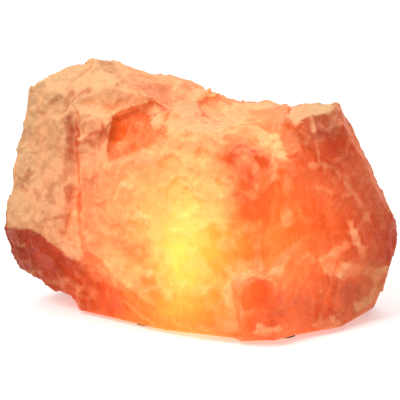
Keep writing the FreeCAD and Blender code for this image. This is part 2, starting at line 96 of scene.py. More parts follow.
def add_node(tree: Tree, kind: str, inputs: Optional[dict[Any, Any]] = None,
             **settings: Any) -> Node:
    """Add one node, with its settings, values and links.

    Args:
        tree: the node tree.
        kind: the node's Blender type name.
        inputs: for each socket name or number, a value, the output socket that feeds it, or the node whose
            first output in use feeds it.
        settings: properties of the node itself.

    Returns:
        The new node.
    """
    node = tree.nodes.new(kind)
    for name, value in settings.items():
        setattr(node, name, value)
    for socket, value in (inputs or {}).items():
        if isinstance(value, Node):
            value = next(output for output in value.outputs if output.enabled)
        if isinstance(value, Socket):
            tree.links.new(value, node.inputs[socket])
        else:
            node.inputs[socket].default_value = value
    return node


def new_material(name: str) -> tuple[Material, Tree]:
    """Make an empty node material.

    Args:
        name: the material's name.

    Returns:
        The material and its cleared node tree.
    """
    material = bpy.data.materials.new(name)
    material.use_nodes = True
    material.node_tree.nodes.clear()
    return material, material.node_tree


def dress(piece: Piece, material: Material) -> None:
    """Give a piece one material on all its faces."""
    piece.data.materials.clear()
    piece.data.materials.append(material)


def smoothstep(low: float, high: float, x: Array) -> Array:
    """Smooth 0 to 1 ramp of x between low and high."""
    t = np.clip((x - low) / (high - low), 0.0, 1.0)
    return t * t * (3 - 2 * t)


def unit(v: Array) -> Array:
    """Vectors scaled to length one."""
    return v / np.maximum(np.linalg.norm(v, axis=-1, keepdims=True), 1e-12)


def path_distance(u: Array, v: Array, path: Sequence[Pair]) -> Array:
    """Distance in the picture from each point to a line of straight stretches.

    Args:
        u: pixel columns.
        v: pixel rows.
        path: corners of the line as (u, v).

    Returns:
        The distance in pixels.
    """
    best = np.full(u.shape, np.inf)
    for (ua, va), (ub, vb) in zip(path, path[1:]):
        du, dv = ub - ua, vb - va
        t = np.clip(((u - ua) * du + (v - va) * dv) / (du * du + dv * dv), 0.0, 1.0)
        best = np.minimum(best, np.hypot(u - ua - t * du, v - va - t * dv))
    return best


def add_object(name: str, data: Any) -> Piece:
    """Put a new object that shows some data into the scene.

    Args:
        name: the object's name.
        data: its mesh, curve, camera or light.

    Returns:
        The new object.
    """
    made = bpy.data.objects.new(name, data)
    bpy.context.scene.collection.objects.link(made)
    return made


def evaluated(made: Piece) -> Mesh:
    """Mesh of an object as its modifiers or its curve shape it."""
    return bpy.data.meshes.new_from_object(made.evaluated_get(bpy.context.evaluated_depsgraph_get()))


def heights(node: str) -> Pair:
    """Height of the lowest and of the highest point of a CAD node."""
    low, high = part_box(node)
    return low.z, high.z


def even_steps(low: float, high: float, step: float) -> list[float]:
    """Evenly spaced values from low to high, about step apart."""
    count = round((high - low) / step)
    return [low + (high - low) * i / count for i in range(count + 1)]


def new_piece(name: str, mesh: Mesh, sharp: float = 35.0) -> Piece:
    """Put a mesh into the scene as a smooth piece.

    Args:
        name: the piece's name.
        mesh: its mesh.
        sharp: angle in degrees over which an edge stays sharp.

    Returns:
        The new object.
    """
    mesh.shade_smooth()
    mesh.set_sharp_from_angle(angle=math.radians(sharp))
    return add_object(name, mesh)


def turned(name: str, profile: Sequence[Pair], steps: int = 96,
           thread: Optional[Callable[[float, float], float]] = None) -> Mesh:
    """Mesh turned about the axis of the hole.

    Args:
        name: the mesh's name.
        profile: closed loop of (radius, height) in metres.
        steps: points round the axis.
        thread: gives what the radius loses at an angle and a height.

    Returns:
        The mesh, with its faces outwards.
    """
    points, faces = [], []
    for ring, (r, z) in enumerate(profile):
        low, high = ring * steps, (ring + 1) % len(profile) * steps
        for i in range(steps):
            turn = 2 * math.pi * i / steps
            radius = r - thread(turn, z) if thread else r
            points.append((radius * math.cos(turn), radius * math.sin(turn), z))
            k = (i + 1) % steps
            faces.append((low + i, low + k, high + k, high + i))
    mesh = bpy.data.meshes.new(name)
    mesh.from_pydata(points, [], faces)
    mesh.update()
    return mesh


def wire(name: str, points: Sequence[Vector], cut: float, radius: float, sides: int = 3) -> Mesh:
    """Round wire along straight runs with smooth bends.

    Args:
        name: the mesh's name.
        points: the corners of the wire's middle line.
        cut: how far before and after a corner its bend starts.
        radius: radius of the wire.
        sides: how round it is.

    Returns:
        The wire's mesh with closed ends.
    """
    guides = [points[0]]
    for before, corner, after in zip(points, points[1:], points[2:]):
        guides.append(corner + (before - corner).normalized() * cut)
        guides.append(corner)
        guides.append(corner + (after - corner).normalized() * cut)
    guides.append(points[-1])
    return wire_along(name, guides, radius, sides, fine=8)


def wire_along(name: str, guides: Sequence[Vector], radius: float, sides: int, fine: int) -> Mesh:
    """Round wire on one smooth line that the guides pull into place.

    Args:
        name: the mesh's name.
        guides: points that pull the line; it starts in the first and ends in the last.
        radius: radius of the wire.
        sides: how round it is.
        fine: steps of the line for each guide.

    Returns:
        The wire's mesh with closed ends.
    """
    curve = bpy.data.curves.new(name, "CURVE")
    curve.dimensions = "3D"
    curve.bevel_depth = radius
    curve.bevel_resolution = sides
    curve.use_fill_caps = True
    line = curve.splines.new("NURBS")
    line.points.add(len(guides) - 1)
    for point, guide in zip(line.points, guides):
        point.co = (*guide, 1.0)
    line.order_u = 3
    line.use_endpoint_u = True
    line.resolution_u = fine
    holder = add_object(name, curve)
    mesh = evaluated(holder)
    bpy.data.objects.remove(holder)
    mesh.name = name
    return mesh


def finish_piece(piece: Piece, node: str, body: str, material: Material) -> None:
    """Dress a piece, hide the CAD node that it stands for, and hang it on the body that it rides on.

    Args:
        piece: the new piece.
        node: the CAD node that it stands for.
        body: the moving body that it rides on.
        material: its material.
    """
    dress(piece, material)
    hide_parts(node)
    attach(piece, body)
    log.info("%s: %d faces", piece.name, len(piece.data.polygons))


# ------------------------------------------------------------------ camera
@dataclass(frozen=True)
class PhotoCamera:
    """The camera at the photograph's viewing angle, and the way from its pixels to the object and back."""

    distance: float = 1.2
    elevation: float = 14.0
    aim: Triple = (-0.0042, 0.0, 0.0750)
    metres_per_pixel: float = 0.0006045
    frame: int = 400
    sensor_mm: float = 36.0

    @property
    def back(self) -> Array:
        """Unit vector from the aim point to the camera."""
        e = math.radians(self.elevation)
        return np.array([0.0, -math.cos(e), math.sin(e)])

    @property
    def up(self) -> Array:
        """Unit vector that points up in the picture."""
        e = math.radians(self.elevation)
        return np.array([0.0, math.sin(e), math.cos(e)])

    @property
    def eye(self) -> Array:
        """Place of the camera."""
        return np.array(self.aim) + self.back * self.distance

    def add(self) -> None:
        """Make the camera and set it as the scene's."""
        data = bpy.data.cameras.new("camera")
        data.sensor_width = self.sensor_mm
        data.lens = self.sensor_mm * self.distance / (self.metres_per_pixel * self.frame)
        camera = add_object("camera", data)
        camera.location = Vector(self.eye)
        camera.rotation_euler = (math.radians(90 - self.elevation), 0, 0)
        bpy.context.scene.camera = camera

    def ray(self, u: float, v: float) -> Array:
        """Unit direction from the camera through a pixel."""
        right, up = (u - self.frame / 2) * self.metres_per_pixel, (self.frame / 2 - v) * self.metres_per_pixel
        return unit(-self.back * self.distance + np.array([1.0, 0, 0]) * right + self.up * up)

    def project(self, points: Array) -> tuple[Array, Array]:
        """Pixel of each point.

        Args:
            points: positions in metres, one row each.

        Returns:
            The pixel columns and the pixel rows.
        """
        q = points - self.eye
        scale = self.distance / self.metres_per_pixel / -(q @ self.back)
        half = self.frame / 2
        return half + q[:, 0] * scale, half - (q @ self.up) * scale


# ------------------------------------------------------------------ finishes
@dataclass(frozen=True)
class Finish:
    """A real material and the way that it was made."""

    name: str

    def look(self, tree: Tree, place: Socket) -> dict[str, Any]:
        """What the surface shows.

        Args:
            tree: the material's node tree, which the patterns are added to.
            place: position in the piece's own space.

        Returns:
            A value, a socket or a node for each socket of the surface's shader.
        """
        raise NotImplementedError

    def build(self) -> Material:
        """Make the material.

        Returns:
            The new material.
        """
        material, tree = new_material(self.name)
        place = add_node(tree, "ShaderNodeTexCoord").outputs["Object"]
        surface = add_node(tree, "ShaderNodeBsdfPrincipled", self.look(tree, place))
        add_node(tree, "ShaderNodeOutputMaterial", {"Surface": surface})
        return material


@dataclass(frozen=True)
class RockSaltFinish(Finish):
    """Raw halite, broken by hand and lit from inside.

    Clear salt lets the light through and stays orange to red, while frosted faces, where small cracks scatter
    the light, look pale. The broken faces have a waxy sheen and a fine sparkle.
    """

    name: str = "rock_salt"
    clear: str = "6B2A1B"
    stain: str = "4E1C12"
    frost: str = "D4BB88"
    ior: float = 1.544
    specular: float = 0.12
    clear_rough: float = 0.34
    frost_rough: float = 0.62
    grit: float = 0.9 * MM
    scale: float = 3.2 * MM
    cloud: float = 11.0 * MM
    cleavage: Pair = (3.0 * MM, 30.0 * MM)
    cleavage_turn: Triple = (0.12, 0.42, 0.5)
    streaks: Pair = (0.56, 0.74)
    streak_frost: float = 0.16
    speck: float = 4.2 * MM
    speck_rim: Pair = (0.08, 0.2)
    speck_least: float = 0.35
    speck_frost: float = 0.7
    mottle: Pair = (0.72, 1.28)
    mottle_frost: float = 0.09
    veil: Pair = (0.3, 0.7)
    veil_light: Pair = (0.93, 1.07)
    relief: float = 0.6 * MM
    split: float = 0.5

    def look(self, tree: Tree, place: Socket) -> dict[str, Any]:
        """Clear or frosted salt by the skin's own glow and frost; Args and Returns as in Finish."""
        glow = add_node(tree, "ShaderNodeAttribute", attribute_name="glow")
        grains = add_node(tree, "ShaderNodeTexNoise", {
            "Vector": place, "Scale": 1 / (2 * self.grit), "Detail": 3.0, "Roughness": 0.65})
        clouds = add_node(tree, "ShaderNodeTexNoise", {
            "Vector": place, "Scale": 1 / self.cloud, "Detail": 6.0, "Roughness": 0.62, "Distortion": 0.5})
        across, along = self.cleavage
        stretched = add_node(tree, "ShaderNodeMapping", {
            "Vector": place, "Rotation": self.cleavage_turn, "Scale": (1 / across, 1 / across, 1 / along)})
        planes = add_node(tree, "ShaderNodeTexNoise", {"Vector": stretched, "Scale": 1.0, "Detail": 2.0})
        cover = self.cover(tree, place, grains, clouds, planes)
        deep = add_node(tree, "ShaderNodeMix", {
            "Factor": clouds, "A": linear(self.stain), "B": linear(self.clear)}, data_type="RGBA")
        albedo = add_node(tree, "ShaderNodeMix", {
            "Factor": cover, "A": deep, "B": linear(self.frost)}, data_type="RGBA")
        shade = add_node(tree, "ShaderNodeMapRange", {
            "Value": clouds, "From Min": self.veil[0], "From Max": self.veil[1],
            "To Min": self.veil_light[0], "To Max": self.veil_light[1]})
        lit = add_node(tree, "ShaderNodeVectorMath", {0: glow, "Scale": shade}, operation="SCALE")
        roughness = add_node(tree, "ShaderNodeMapRange", {
            "Value": cover, "To Min": self.clear_rough, "To Max": self.frost_rough})
        height = add_node(tree, "ShaderNodeMath", {0: grains, 1: planes}, operation="ADD")
        height = add_node(tree, "ShaderNodeMath", {0: height, 1: self.relief, 2: self.facets(tree, place)},
                          operation="MULTIPLY_ADD")
        height = add_node(tree, "ShaderNodeMath", {0: height, 1: self.split}, operation="MULTIPLY")
        bump = add_node(tree, "ShaderNodeBump", {"Height": height, "Distance": 1.0, "Strength": 1.0})
        return {"Base Color": albedo, "Roughness": roughness, "IOR": self.ior,
                "Specular IOR Level": self.specular, "Normal": bump, "Emission Color": lit,
                "Emission Strength": 1.0}

    def cover(self, tree: Tree, place: Socket, grains: Node,
              clouds: Node, planes: Node) -> Node:
        """Share of the surface that is frosted.

        Args:
            tree: the material's node tree.
            place: position in the piece's own space.
            grains: pattern of the grit.
            clouds: pattern of the clouds in the salt.
            planes: pattern of the cleavage planes.

        Returns:
            The node that gives the share, from 0 to 1.
        """
        frost = add_node(tree, "ShaderNodeAttribute", attribute_name="frost").outputs["Fac"]
        streaks = add_node(tree, "ShaderNodeMapRange", {
            "Value": planes, "From Min": self.streaks[0], "From Max": self.streaks[1],
            "To Max": self.streak_frost}, interpolation_type="SMOOTHSTEP")
        dots = add_node(tree, "ShaderNodeTexVoronoi", {"Vector": place, "Scale": 1 / self.speck})
        specks = add_node(tree, "ShaderNodeMapRange", {
            "Value": dots, "From Min": self.speck_rim[0], "From Max": self.speck_rim[1], "To Min": 1.0,
            "To Max": 0.0}, interpolation_type="SMOOTHSTEP")
        strength = add_node(tree, "ShaderNodeMapRange", {
            "Value": dots.outputs["Color"], "From Min": self.speck_least, "To Max": self.speck_frost})
        specks = add_node(tree, "ShaderNodeMath", {0: specks, 1: strength}, operation="MULTIPLY")
        mottle = add_node(tree, "ShaderNodeMath", {0: grains, 1: clouds}, operation="ADD")
        mottle = add_node(tree, "ShaderNodeMapRange", {
            "Value": mottle, "From Min": self.mottle[0], "From Max": self.mottle[1],
            "To Min": -self.mottle_frost, "To Max": self.mottle_frost})
        cover = add_node(tree, "ShaderNodeMath", {0: frost, 1: mottle}, operation="ADD")
        cover = add_node(tree, "ShaderNodeMath", {0: cover, 1: streaks}, operation="ADD")
        return add_node(tree, "ShaderNodeMath", {0: cover, 1: specks}, operation="ADD", use_clamp=True)

    def facets(self, tree: Tree, place: Socket) -> Node:
        """Height of fine flat splits, each of which leans its own way.

        Args:
            tree: the material's node tree.
            place: position in the piece's own space.

        Returns:
            The node that gives the height in metres.
        """
        cells = add_node(tree, "ShaderNodeTexVoronoi", {"Vector": place, "Scale": 1 / self.scale})
        lean = add_node(tree, "ShaderNodeVectorMath", {0: cells.outputs["Color"], 1: (0.5, 0.5, 0.5)},
                        operation="SUBTRACT")
        offset = add_node(tree, "ShaderNodeVectorMath", {0: place, 1: cells.outputs["Position"]},
                          operation="SUBTRACT")
        return add_node(tree, "ShaderNodeVectorMath", {0: lean, 1: offset}, operation="DOT_PRODUCT")


@dataclass(frozen=True)
class MetalFinish(Finish):
    """A bare or plated metal; its grain gives the gloss fine streaks or a cast bloom."""

    colour: str
    rough: float
    grain: Triple
    relief: float = 0.01 * MM
    rough_spread: Pair = (0.7, 1.3)
    tone_spread: Pair = (0.8, 1.1)

    def look(self, tree: Tree, place: Socket) -> dict[str, Any]:
        """Bright metal, streaked along its longest grain; Args and Returns as in Finish."""
        stretched = add_node(tree, "ShaderNodeMapping", {
            "Vector": place, "Scale": tuple(1 / size for size in self.grain)})
        streaks = add_node(tree, "ShaderNodeTexNoise", {"Vector": stretched, "Scale": 1.0, "Detail": 3.0})
        smooth, dull = (share * self.rough for share in self.rough_spread)
        rough = add_node(tree, "ShaderNodeMapRange", {"Value": streaks, "To Min": smooth, "To Max": dull})
        dark, light = self.tone_spread
        tone = add_node(tree, "ShaderNodeMapRange", {"Value": streaks, "To Min": dark, "To Max": light})
        colour = add_node(tree, "ShaderNodeVectorMath", {0: linear(self.colour)[:3], "Scale": tone},
                          operation="SCALE")
        bump = add_node(tree, "ShaderNodeBump", {"Height": streaks, "Distance": self.relief})
        return {"Base Color": colour, "Metallic": 1.0, "Roughness": rough, "Normal": bump}


@dataclass(frozen=True)
class MouldedFinish(Finish):
    """A moulded, pressed or fired piece; its two tones and fine relief break up the gloss."""

    colour: str
    tone: str
    rough: float
    grain: float
    ior: float = 1.5
    coat: float = 0.0
    relief: float = 0.03 * MM
    rough_spread: Pair = (0.8, 1.2)
    broad_share: float = 0.1

    def look(self, tree: Tree, place: Socket) -> dict[str, Any]:
        """Two near tones under a fine relief; Args and Returns as in Finish."""
        fine, broad = (add_node(tree, "ShaderNodeTexNoise", {
            "Vector": place, "Scale": share / self.grain, "Detail": 3.0}) for share in (1, self.broad_share))
        colour = add_node(tree, "ShaderNodeMix", {
            "Factor": broad, "A": linear(self.colour), "B": linear(self.tone)}, data_type="RGBA")
        smooth, dull = (share * self.rough for share in self.rough_spread)
        rough = add_node(tree, "ShaderNodeMapRange", {"Value": broad, "To Min": smooth, "To Max": dull})
        bump = add_node(tree, "ShaderNodeBump", {"Height": fine, "Distance": self.relief})
        return {"Base Color": colour, "Roughness": rough, "IOR": self.ior, "Coat Weight": self.coat,
                "Normal": bump}


@dataclass(frozen=True)
class WoolFelt(Finish):
    """Pressed wool felt of the stick-on pads: matted fibres, soft at the rim."""

    name: str = "wool_felt"
    colour: str = "5A5048"
    fibre: str = "85786B"
    tuft: float = 1.5 * MM
    relief: float = 0.2 * MM
    rough: float = 0.95
    sheen: float = 0.4

    def look(self, tree: Tree, place: Socket) -> dict[str, Any]:
        """Tangled fibres in two tones; Args and Returns as in Finish."""
        mat = add_node(tree, "ShaderNodeTexNoise", {
            "Vector": place, "Scale": 1 / self.tuft, "Detail": 6.0, "Distortion": 2.5})
        colour = add_node(tree, "ShaderNodeMix", {
            "Factor": mat, "A": linear(self.colour), "B": linear(self.fibre)}, data_type="RGBA")
        bump = add_node(tree, "ShaderNodeBump", {"Height": mat, "Distance": self.relief})
        return {"Base Color": colour, "Roughness": self.rough, "Sheen Weight": self.sheen, "Normal": bump}


@dataclass(frozen=True)
class BlownGlass(Finish):
    """Clear soda-lime glass, blown in a mould: it shows by its reflections and faint waves."""

    name: str = "blown_glass"
    colour: str = "F6FBFA"
    rough: float = 0.02
    ior: float = 1.52
    wave: float = 9.0 * MM
    relief: float = 0.04 * MM

    def look(self, tree: Tree, place: Socket) -> dict[str, Any]:
        """Clear glass with faint waves; Args and Returns as in Finish."""
        waves = add_node(tree, "ShaderNodeTexNoise", {"Vector": place, "Scale": 1 / self.wave})
        bump = add_node(tree, "ShaderNodeBump", {"Height": waves, "Distance": self.relief})
        return {"Base Color": linear(self.colour), "Roughness": self.rough, "IOR": self.ior,
                "Transmission Weight": 1.0, "Normal": bump}


@dataclass(frozen=True)
class HotTungsten(Finish):
    """Coiled tungsten wire at work: its own orange-white light, a little cooler here and there."""

    name: str = "hot_tungsten"
    colour: str = "6E6A66"
    light: str = "FFBE78"
    cooler: str = "FFA65A"
    strength: float = 2.2
    patch: float = 1.5 * MM
    rough: Pair = (0.34, 0.46)

    def look(self, tree: Tree, place: Socket) -> dict[str, Any]:
        """Patches that are hotter and rougher, or cooler and smoother; Args and Returns as in Finish."""
        patches = add_node(tree, "ShaderNodeTexNoise", {"Vector": place, "Scale": 1 / self.patch})
        heat = add_node(tree, "ShaderNodeMix", {
            "Factor": patches, "A": linear(self.cooler), "B": linear(self.light)}, data_type="RGBA")
        drawn = add_node(tree, "ShaderNodeMapRange", {
            "Value": patches, "To Min": self.rough[0], "To Max": self.rough[1]})
        return {"Base Color": linear(self.colour), "Metallic": 1.0, "Roughness": drawn,
                "Emission Color": heat, "Emission Strength": self.strength}


# Black phenolic, hot-pressed: a deep, slightly brown gloss with a faint orange peel.
PHENOLIC = MouldedFinish("pressed_phenolic", "0E0B09", "181210", 0.36, 0.8 * MM, 1.5)
# Black chloroprene, moulded: dull, with a blasted tool's fine grain.
CHLOROPRENE = MouldedFinish("moulded_chloroprene", "141414", "1E1E1D", 0.72, 0.5 * MM, 1.52)
# Steatite, pressed and fired without a glaze on its working faces: warm white with a silky gloss.
STEATITE = MouldedFinish("fired_steatite", "E9E4D8", "F4F0E6", 0.38, 0.6 * MM, 1.58, 0.25)
# Black lead glass, cast into the cap: near black and very glossy.
VITRITE = MouldedFinish("cast_vitrite", "0C0A10", "151220", 0.12, 1.5 * MM, 1.7, 0.0, 0.02 * MM)
# Brass sheet, stamped and drawn: yellow, with fine drawing lines along the axis.
BRASS = MetalFinish("stamped_brass", "D9B566", 0.28, (0.4 * MM, 0.4 * MM, 5.0 * MM))
# Nickel-plated brass, drawn and rolled: warm silver with lines round it.
NICKEL = MetalFinish("plated_nickel", "C9C3B6", 0.24, (4.0 * MM, 4.0 * MM, 0.4 * MM))
# Zinc-plated steel screws: bluish silver with a soft bloom.
ZINC = MetalFinish("plated_zinc", "B9BEC4", 0.34, (0.7 * MM, 0.7 * MM, 0.7 * MM))
# Hard-drawn spring wire, plated: darker, with lines along the wire.
SPRING_WIRE = MetalFinish("drawn_spring_wire", "A4A6A8", 0.26, (0.3 * MM, 0.3 * MM, 4.0 * MM))
# Tin solder, set in a drop: pale and satin.
SOLDER = MetalFinish("set_solder", "BFC0BE", 0.38, (1.2 * MM, 1.2 * MM, 1.2 * MM), 0.04 * MM)


# ------------------------------------------------------------------ the crystal
class Way(Enum):
    """What a mark does to the skin under it: more or less frost, or more or less light from inside."""

    FROST = "frost"
    CLEAR = "clear"
    LIT = "lit"
    DIM = "dim"


@dataclass(frozen=True)
class Mark:
    """A band along a line in the photograph where the salt looks otherwise.

    Path and width are in pixels, and soft is the share of the width that the soft edge takes up.
    """

    name: str
    way: Way
    path: tuple[Pair, ...]
    width: float
    amount: float
    soft: float = 0.5


@dataclass(frozen=True)
class Facet:
    """One flat break of the crystal, found by a pixel inside it, with its frost and its dimness."""

    name: str
    pixel: Pair
    frost: float
    dim: float = 0.0


@dataclass(frozen=True)
class Clouds:
    """Fractal noise in space: grain is the size of its largest clouds, and seed shifts the pattern."""

    grain: float
    octaves: int
    seed: float

    def at(self, points: Array) -> Array:
        """Noise at each point.

        Args:
            points: positions in metres, one row each.

        Returns:
            Values from about -1 to 1.
        """
        shift = Vector((self.seed, 1.7 * self.seed, -0.6 * self.seed))
        places = (Vector(point) + shift for point in points / self.grain)
        return np.array([noise.fractal(place, 1.0, 2.0, self.octaves) for place in places])


@dataclass(frozen=True)
class Flakes:
    """One kind of flake: how many there are, how deep they are and how round their floors are."""

    number: int
    depth_mm: float
    radius_mm: float


@dataclass(frozen=True)
class Glow:
    """The light of the bulb and how the salt takes it up.

    The bulb stands for a row of points on the axis of the hole. Light that has gone through start of salt has
    the colour at_start at the distance near, spreads from there, and fades over the length given for each of
    red, green and blue.
    """

    bottom: float = 22.0 * MM
    top: float = 78.0 * MM
    centre: float = 46.0 * MM
    spread: float = 18.0 * MM
    steps: int = 9
    start: float = 20.0 * MM
    near: float = 40.0 * MM
    at_start: Triple = (2.8, 0.47, 0.05)
    fade: Triple = (80.0 * MM, 40.0 * MM, 40.0 * MM)
    lean: float = 0.35
    usual_turn: float = 0.8
    head_room: float = 20.0 * MM

    def reach(self, points: Array, normals: Array, bore_radius: float, bore_top: float) -> Array:
        """Light that comes out at each point of the skin.

        Args:
            points: positions in metres, one row each.
            normals: unit normal of each point; a face turned away from the bulb's light sends less of it out.
            bore_radius: radius of the hole, where the light meets no salt.
            bore_top: height up to which the light meets no salt.

        Returns:
            Linear red, green and blue for each point.
        """
        total = np.zeros((len(points), 3))
        weights = 0.0
        across = np.maximum(np.hypot(points[:, 0], points[:, 1]), bore_radius)
        for z in np.linspace(self.bottom, self.top, self.steps):
            weight = math.exp(-((z - self.centre) / self.spread) ** 2 / 2)
            rise = points[:, 2] - z
            length = np.hypot(across, rise)
            through_wall = bore_radius / across
            through_top = (bore_top - z) / np.maximum(rise, 1e-6)
            free = np.where(rise > 0, np.minimum(through_wall, through_top), through_wall)
            salt = length * (1 - np.clip(free, 0.0, 1.0))
            for channel, fade in enumerate(self.fade):
                total[:, channel] += weight * self.near / length * np.exp(-(salt - self.start) / fade)
            weights += weight
        outward = unit(points - np.array([0.0, 0.0, self.centre]))
        facing = np.clip(np.einsum("ij,ij->i", normals, outward), 0.0, 1.0)
        total *= (1 - self.lean + self.lean * facing / self.usual_turn)[:, None]
        return total / weights * np.array(self.at_start)


@dataclass
class SaltCrystal:
    """The block of rock salt: its broken skin, the light that comes through it, and its frost.

    The values stand in the order of the work: the grid and the hole, the flat breaks, the flakes, the
    weather, the light, and the frost with its marks. The bore's slack and roof and the two bends are counted
    in voxels. Each tip says how far it goes out, and where along its axis that starts and is full.
    """

    camera: PhotoCamera
    facets: tuple[Facet, ...]
    marks: tuple[Mark, ...]
    glow: Glow = Glow()
    voxel: float = 1.3 * MM
    bore_radius: float = 22.0 * MM
    bore_top: float = 107.49 * MM
    bore_slack: float = 1.5
    bore_roof: float = 3.0
    bore_ease: Pair = (1.5 * MM, 5 * MM)
    underside: float = 2.5 * MM
    underside_ease: Pair = (0.8 * MM, 4 * MM)
    channel_half: float = 7.5 * MM
    channel_top: float = 14 * MM
    same_way: float = 0.9995
    same_level: float = 0.3 * MM
    usual_frost: float = 0.3
    flake_depth: float = 6.0 * MM
    flake_turn: float = 0.12
    clear_frost: float = 0.05
    clear_misfit: float = 0.7
    seed: int = 7
    edge_flakes: Flakes = Flakes(420, 0.7, 9.0)
    face_flakes: Flakes = Flakes(160, 0.6, 24.0)
    edge_bend: float = 0.16
    flat_bend: float = 0.05
    flake_tilt: float = 0.22
    flake_variety: float = 0.45
    flake_roundness: Pair = (0.7, 1.6)
    flake_edge: Pair = (0.15, 0.6)
    flake_margin: float = 1.25
    most_worn: float = 1.5 * MM
    waves: Clouds = Clouds(24 * MM, 3, 3.0)
    wave_height: float = 0.9 * MM
    lumps: Clouds = Clouds(6 * MM, 2, 8.0)
    lump_height: float = 0.16 * MM
    splits: tuple[Pair, ...] = ((14 * MM, 0.07), (5 * MM, 0.045))
    worn_off: float = 0.2 * MM
    left_tip: Triple = (3.5 * MM, 75 * MM, 120 * MM)
    right_tip: Triple = (0.5 * MM, 80 * MM, 115 * MM)
    peak_tip: Triple = (1.0 * MM, 125 * MM, 152 * MM)
    light_rounds: int = 3
    edge_rounds: int = 2
    frost_rounds: int = 1
    dim_rounds: int = 4
    dim_colour: Triple = (0.5, 1.0, 1.0)
    frost_clouds: Clouds = Clouds(30 * MM, 4, 21.0)
    cloud_frost: float = 0.18
    edge_frost: float = 1.6
    ragged: Clouds = Clouds(7 * MM, 4, 33.0)
    ragged_share: float = 1.1
    most_ragged: float = 9.0
    broken: Clouds = Clouds(13 * MM, 3, 51.0)
    broken_usual: float = 0.8
    broken_variety: float = 0.9
    broken_most: float = 1.3
    grazing: float = -0.1
    points: Array = field(init=False)
    normals: Array = field(init=False)
    free: Array = field(init=False)
    facet_frost: Array = field(init=False)
    facet_dim: Array = field(init=False)

    def build(self, node: str) -> Piece:
        """Make the skin from the solid of one CAD node, and let it stand for that node.

        Args:
            node: the CAD node's name.

        Returns:
            The finished piece.
        """
        skin = self.remesh(node)
        self.read(skin.data)
        self.find_facets(bpy.data.objects[node].data)
        self.hold_bore()
        base = self.points.copy()
        self.break_flakes(skin.data)
        worn = self.points - base
        depth = np.linalg.norm(worn, axis=1, keepdims=True)
        self.points = base + worn * np.minimum(1.0, self.most_worn / np.maximum(depth, 1e-9))
        self.weather()
        self.fill_out()
        self.write(skin.data)
        self.paint(skin.data)
        skin.data.shade_smooth()
        dress(skin, RockSaltFinish().build())
        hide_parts(node)
        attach(skin, "crystal")
        return skin

    def remesh(self, node: str) -> Piece:
        """Copy a CAD node with an even mesh all over.

        Args:
            node: the CAD node's name.

        Returns:
            The copy.
        """
        skin = add_object("crystal_skin", bpy.data.objects[node].data.copy())
        grid = skin.modifiers.new("grid", "REMESH")
        grid.mode = "VOXEL"
        grid.voxel_size = self.voxel
        even = evaluated(skin)
        skin.modifiers.clear()
        skin.data = even
        return skin

    def read(self, mesh: Mesh) -> None:
        """Read the skin's points and normals.

        Args:
            mesh: the skin's mesh.
        """
        flat = np.zeros(len(mesh.vertices) * 3)
        mesh.vertices.foreach_get("co", flat)
        self.points = flat.reshape(-1, 3).copy()
        mesh.vertex_normals.foreach_get("vector", flat)
        self.normals = flat.reshape(-1, 3).copy()

    def write(self, mesh: Mesh) -> None:
        """Write the points back and refresh the normals.

        Args:
            mesh: the skin's mesh.
        """
        mesh.vertices.foreach_set("co", self.points.ravel())
        mesh.update()
        self.read(mesh)

    def find_facets(self, solid: Mesh) -> None:
        """Give each point the frost and the dimness of the flat break that it belongs to.

        A face that lies in no named break takes after the named one that it lies nearest to in place and way.

        Args:
            solid: the CAD solid's mesh, whose faces are flat where the salt broke flat.
        """
        tree = BVHTree.FromPolygons([v.co.copy() for v in solid.vertices],
                                    [tuple(f.vertices) for f in solid.polygons])
        normals = np.array([f.normal[:] for f in solid.polygons])
        centres = np.array([f.center[:] for f in solid.polygons])
        reach = np.einsum("ij,ij->i", normals, centres)
        frost = np.full(len(normals), self.usual_frost)
        dim = np.zeros(len(normals))
        named = np.zeros(len(normals), dtype=bool)
        planes: list[tuple[int, Facet]] = []
        for facet in self.facets:
            hit = tree.ray_cast(Vector(self.camera.eye), Vector(self.camera.ray(*facet.pixel)))[2]
            if hit is None:
                log.warning("facet %s misses the crystal", facet.name)
                continue
            level = (normals @ normals[hit] > self.same_way) & (np.abs(reach - reach[hit]) < self.same_level)
            frost[level] = facet.frost
            dim[level] = facet.dim
            named[level] = True
            planes.append((hit, facet))
        closest = np.ones(len(normals))
        for hit, facet in planes:
            off_level = np.abs(centres @ normals[hit] - reach[hit]) / self.flake_depth
            misfit = off_level + (1 - normals @ normals[hit]) / self.flake_turn
            misfit = misfit + (self.clear_misfit if facet.frost < self.clear_frost else 0.0)
            hollow = ~named & (misfit < closest)
            closest[hollow] = misfit[hollow]
            frost[hollow] = facet.frost
            dim[hollow] = facet.dim
        nearest = [tree.find_nearest(Vector(p))[2] for p in self.points]
        self.facet_frost = frost[nearest]
        self.facet_dim = dim[nearest]

    def hold_bore(self) -> None:
        """Make the hole true again, and find how free each point is to be worn away.

        The wall of the hole, its end, its mouth and the flat underside keep their place.
        """
        across = np.hypot(self.points[:, 0], self.points[:, 1])
        height = self.points[:, 2]
        slack = self.bore_slack * self.voxel
        wall = (np.abs(across - self.bore_radius) < slack) & (height < self.bore_top + self.voxel)
        scale = np.where(wall, self.bore_radius / np.maximum(across, 1e-6), 1.0)
        self.points[:, :2] *= scale[:, None]
        end = (across < self.bore_radius + self.voxel) & (np.abs(height - self.bore_top) < slack)
        self.points[end, 2] = self.bore_top
        roof = self.bore_top + self.bore_roof * self.voxel
        from_bore = np.where(height < roof, across - self.bore_radius, np.inf)
        in_channel = np.abs(self.points[:, 0]) < self.channel_half
        in_channel &= (self.points[:, 1] > 0) & (height < self.channel_top)
        self.free = smoothstep(*self.bore_ease, from_bore)
        self.free *= smoothstep(*self.underside_ease, height - self.underside)
        self.free[in_channel] = 0.0

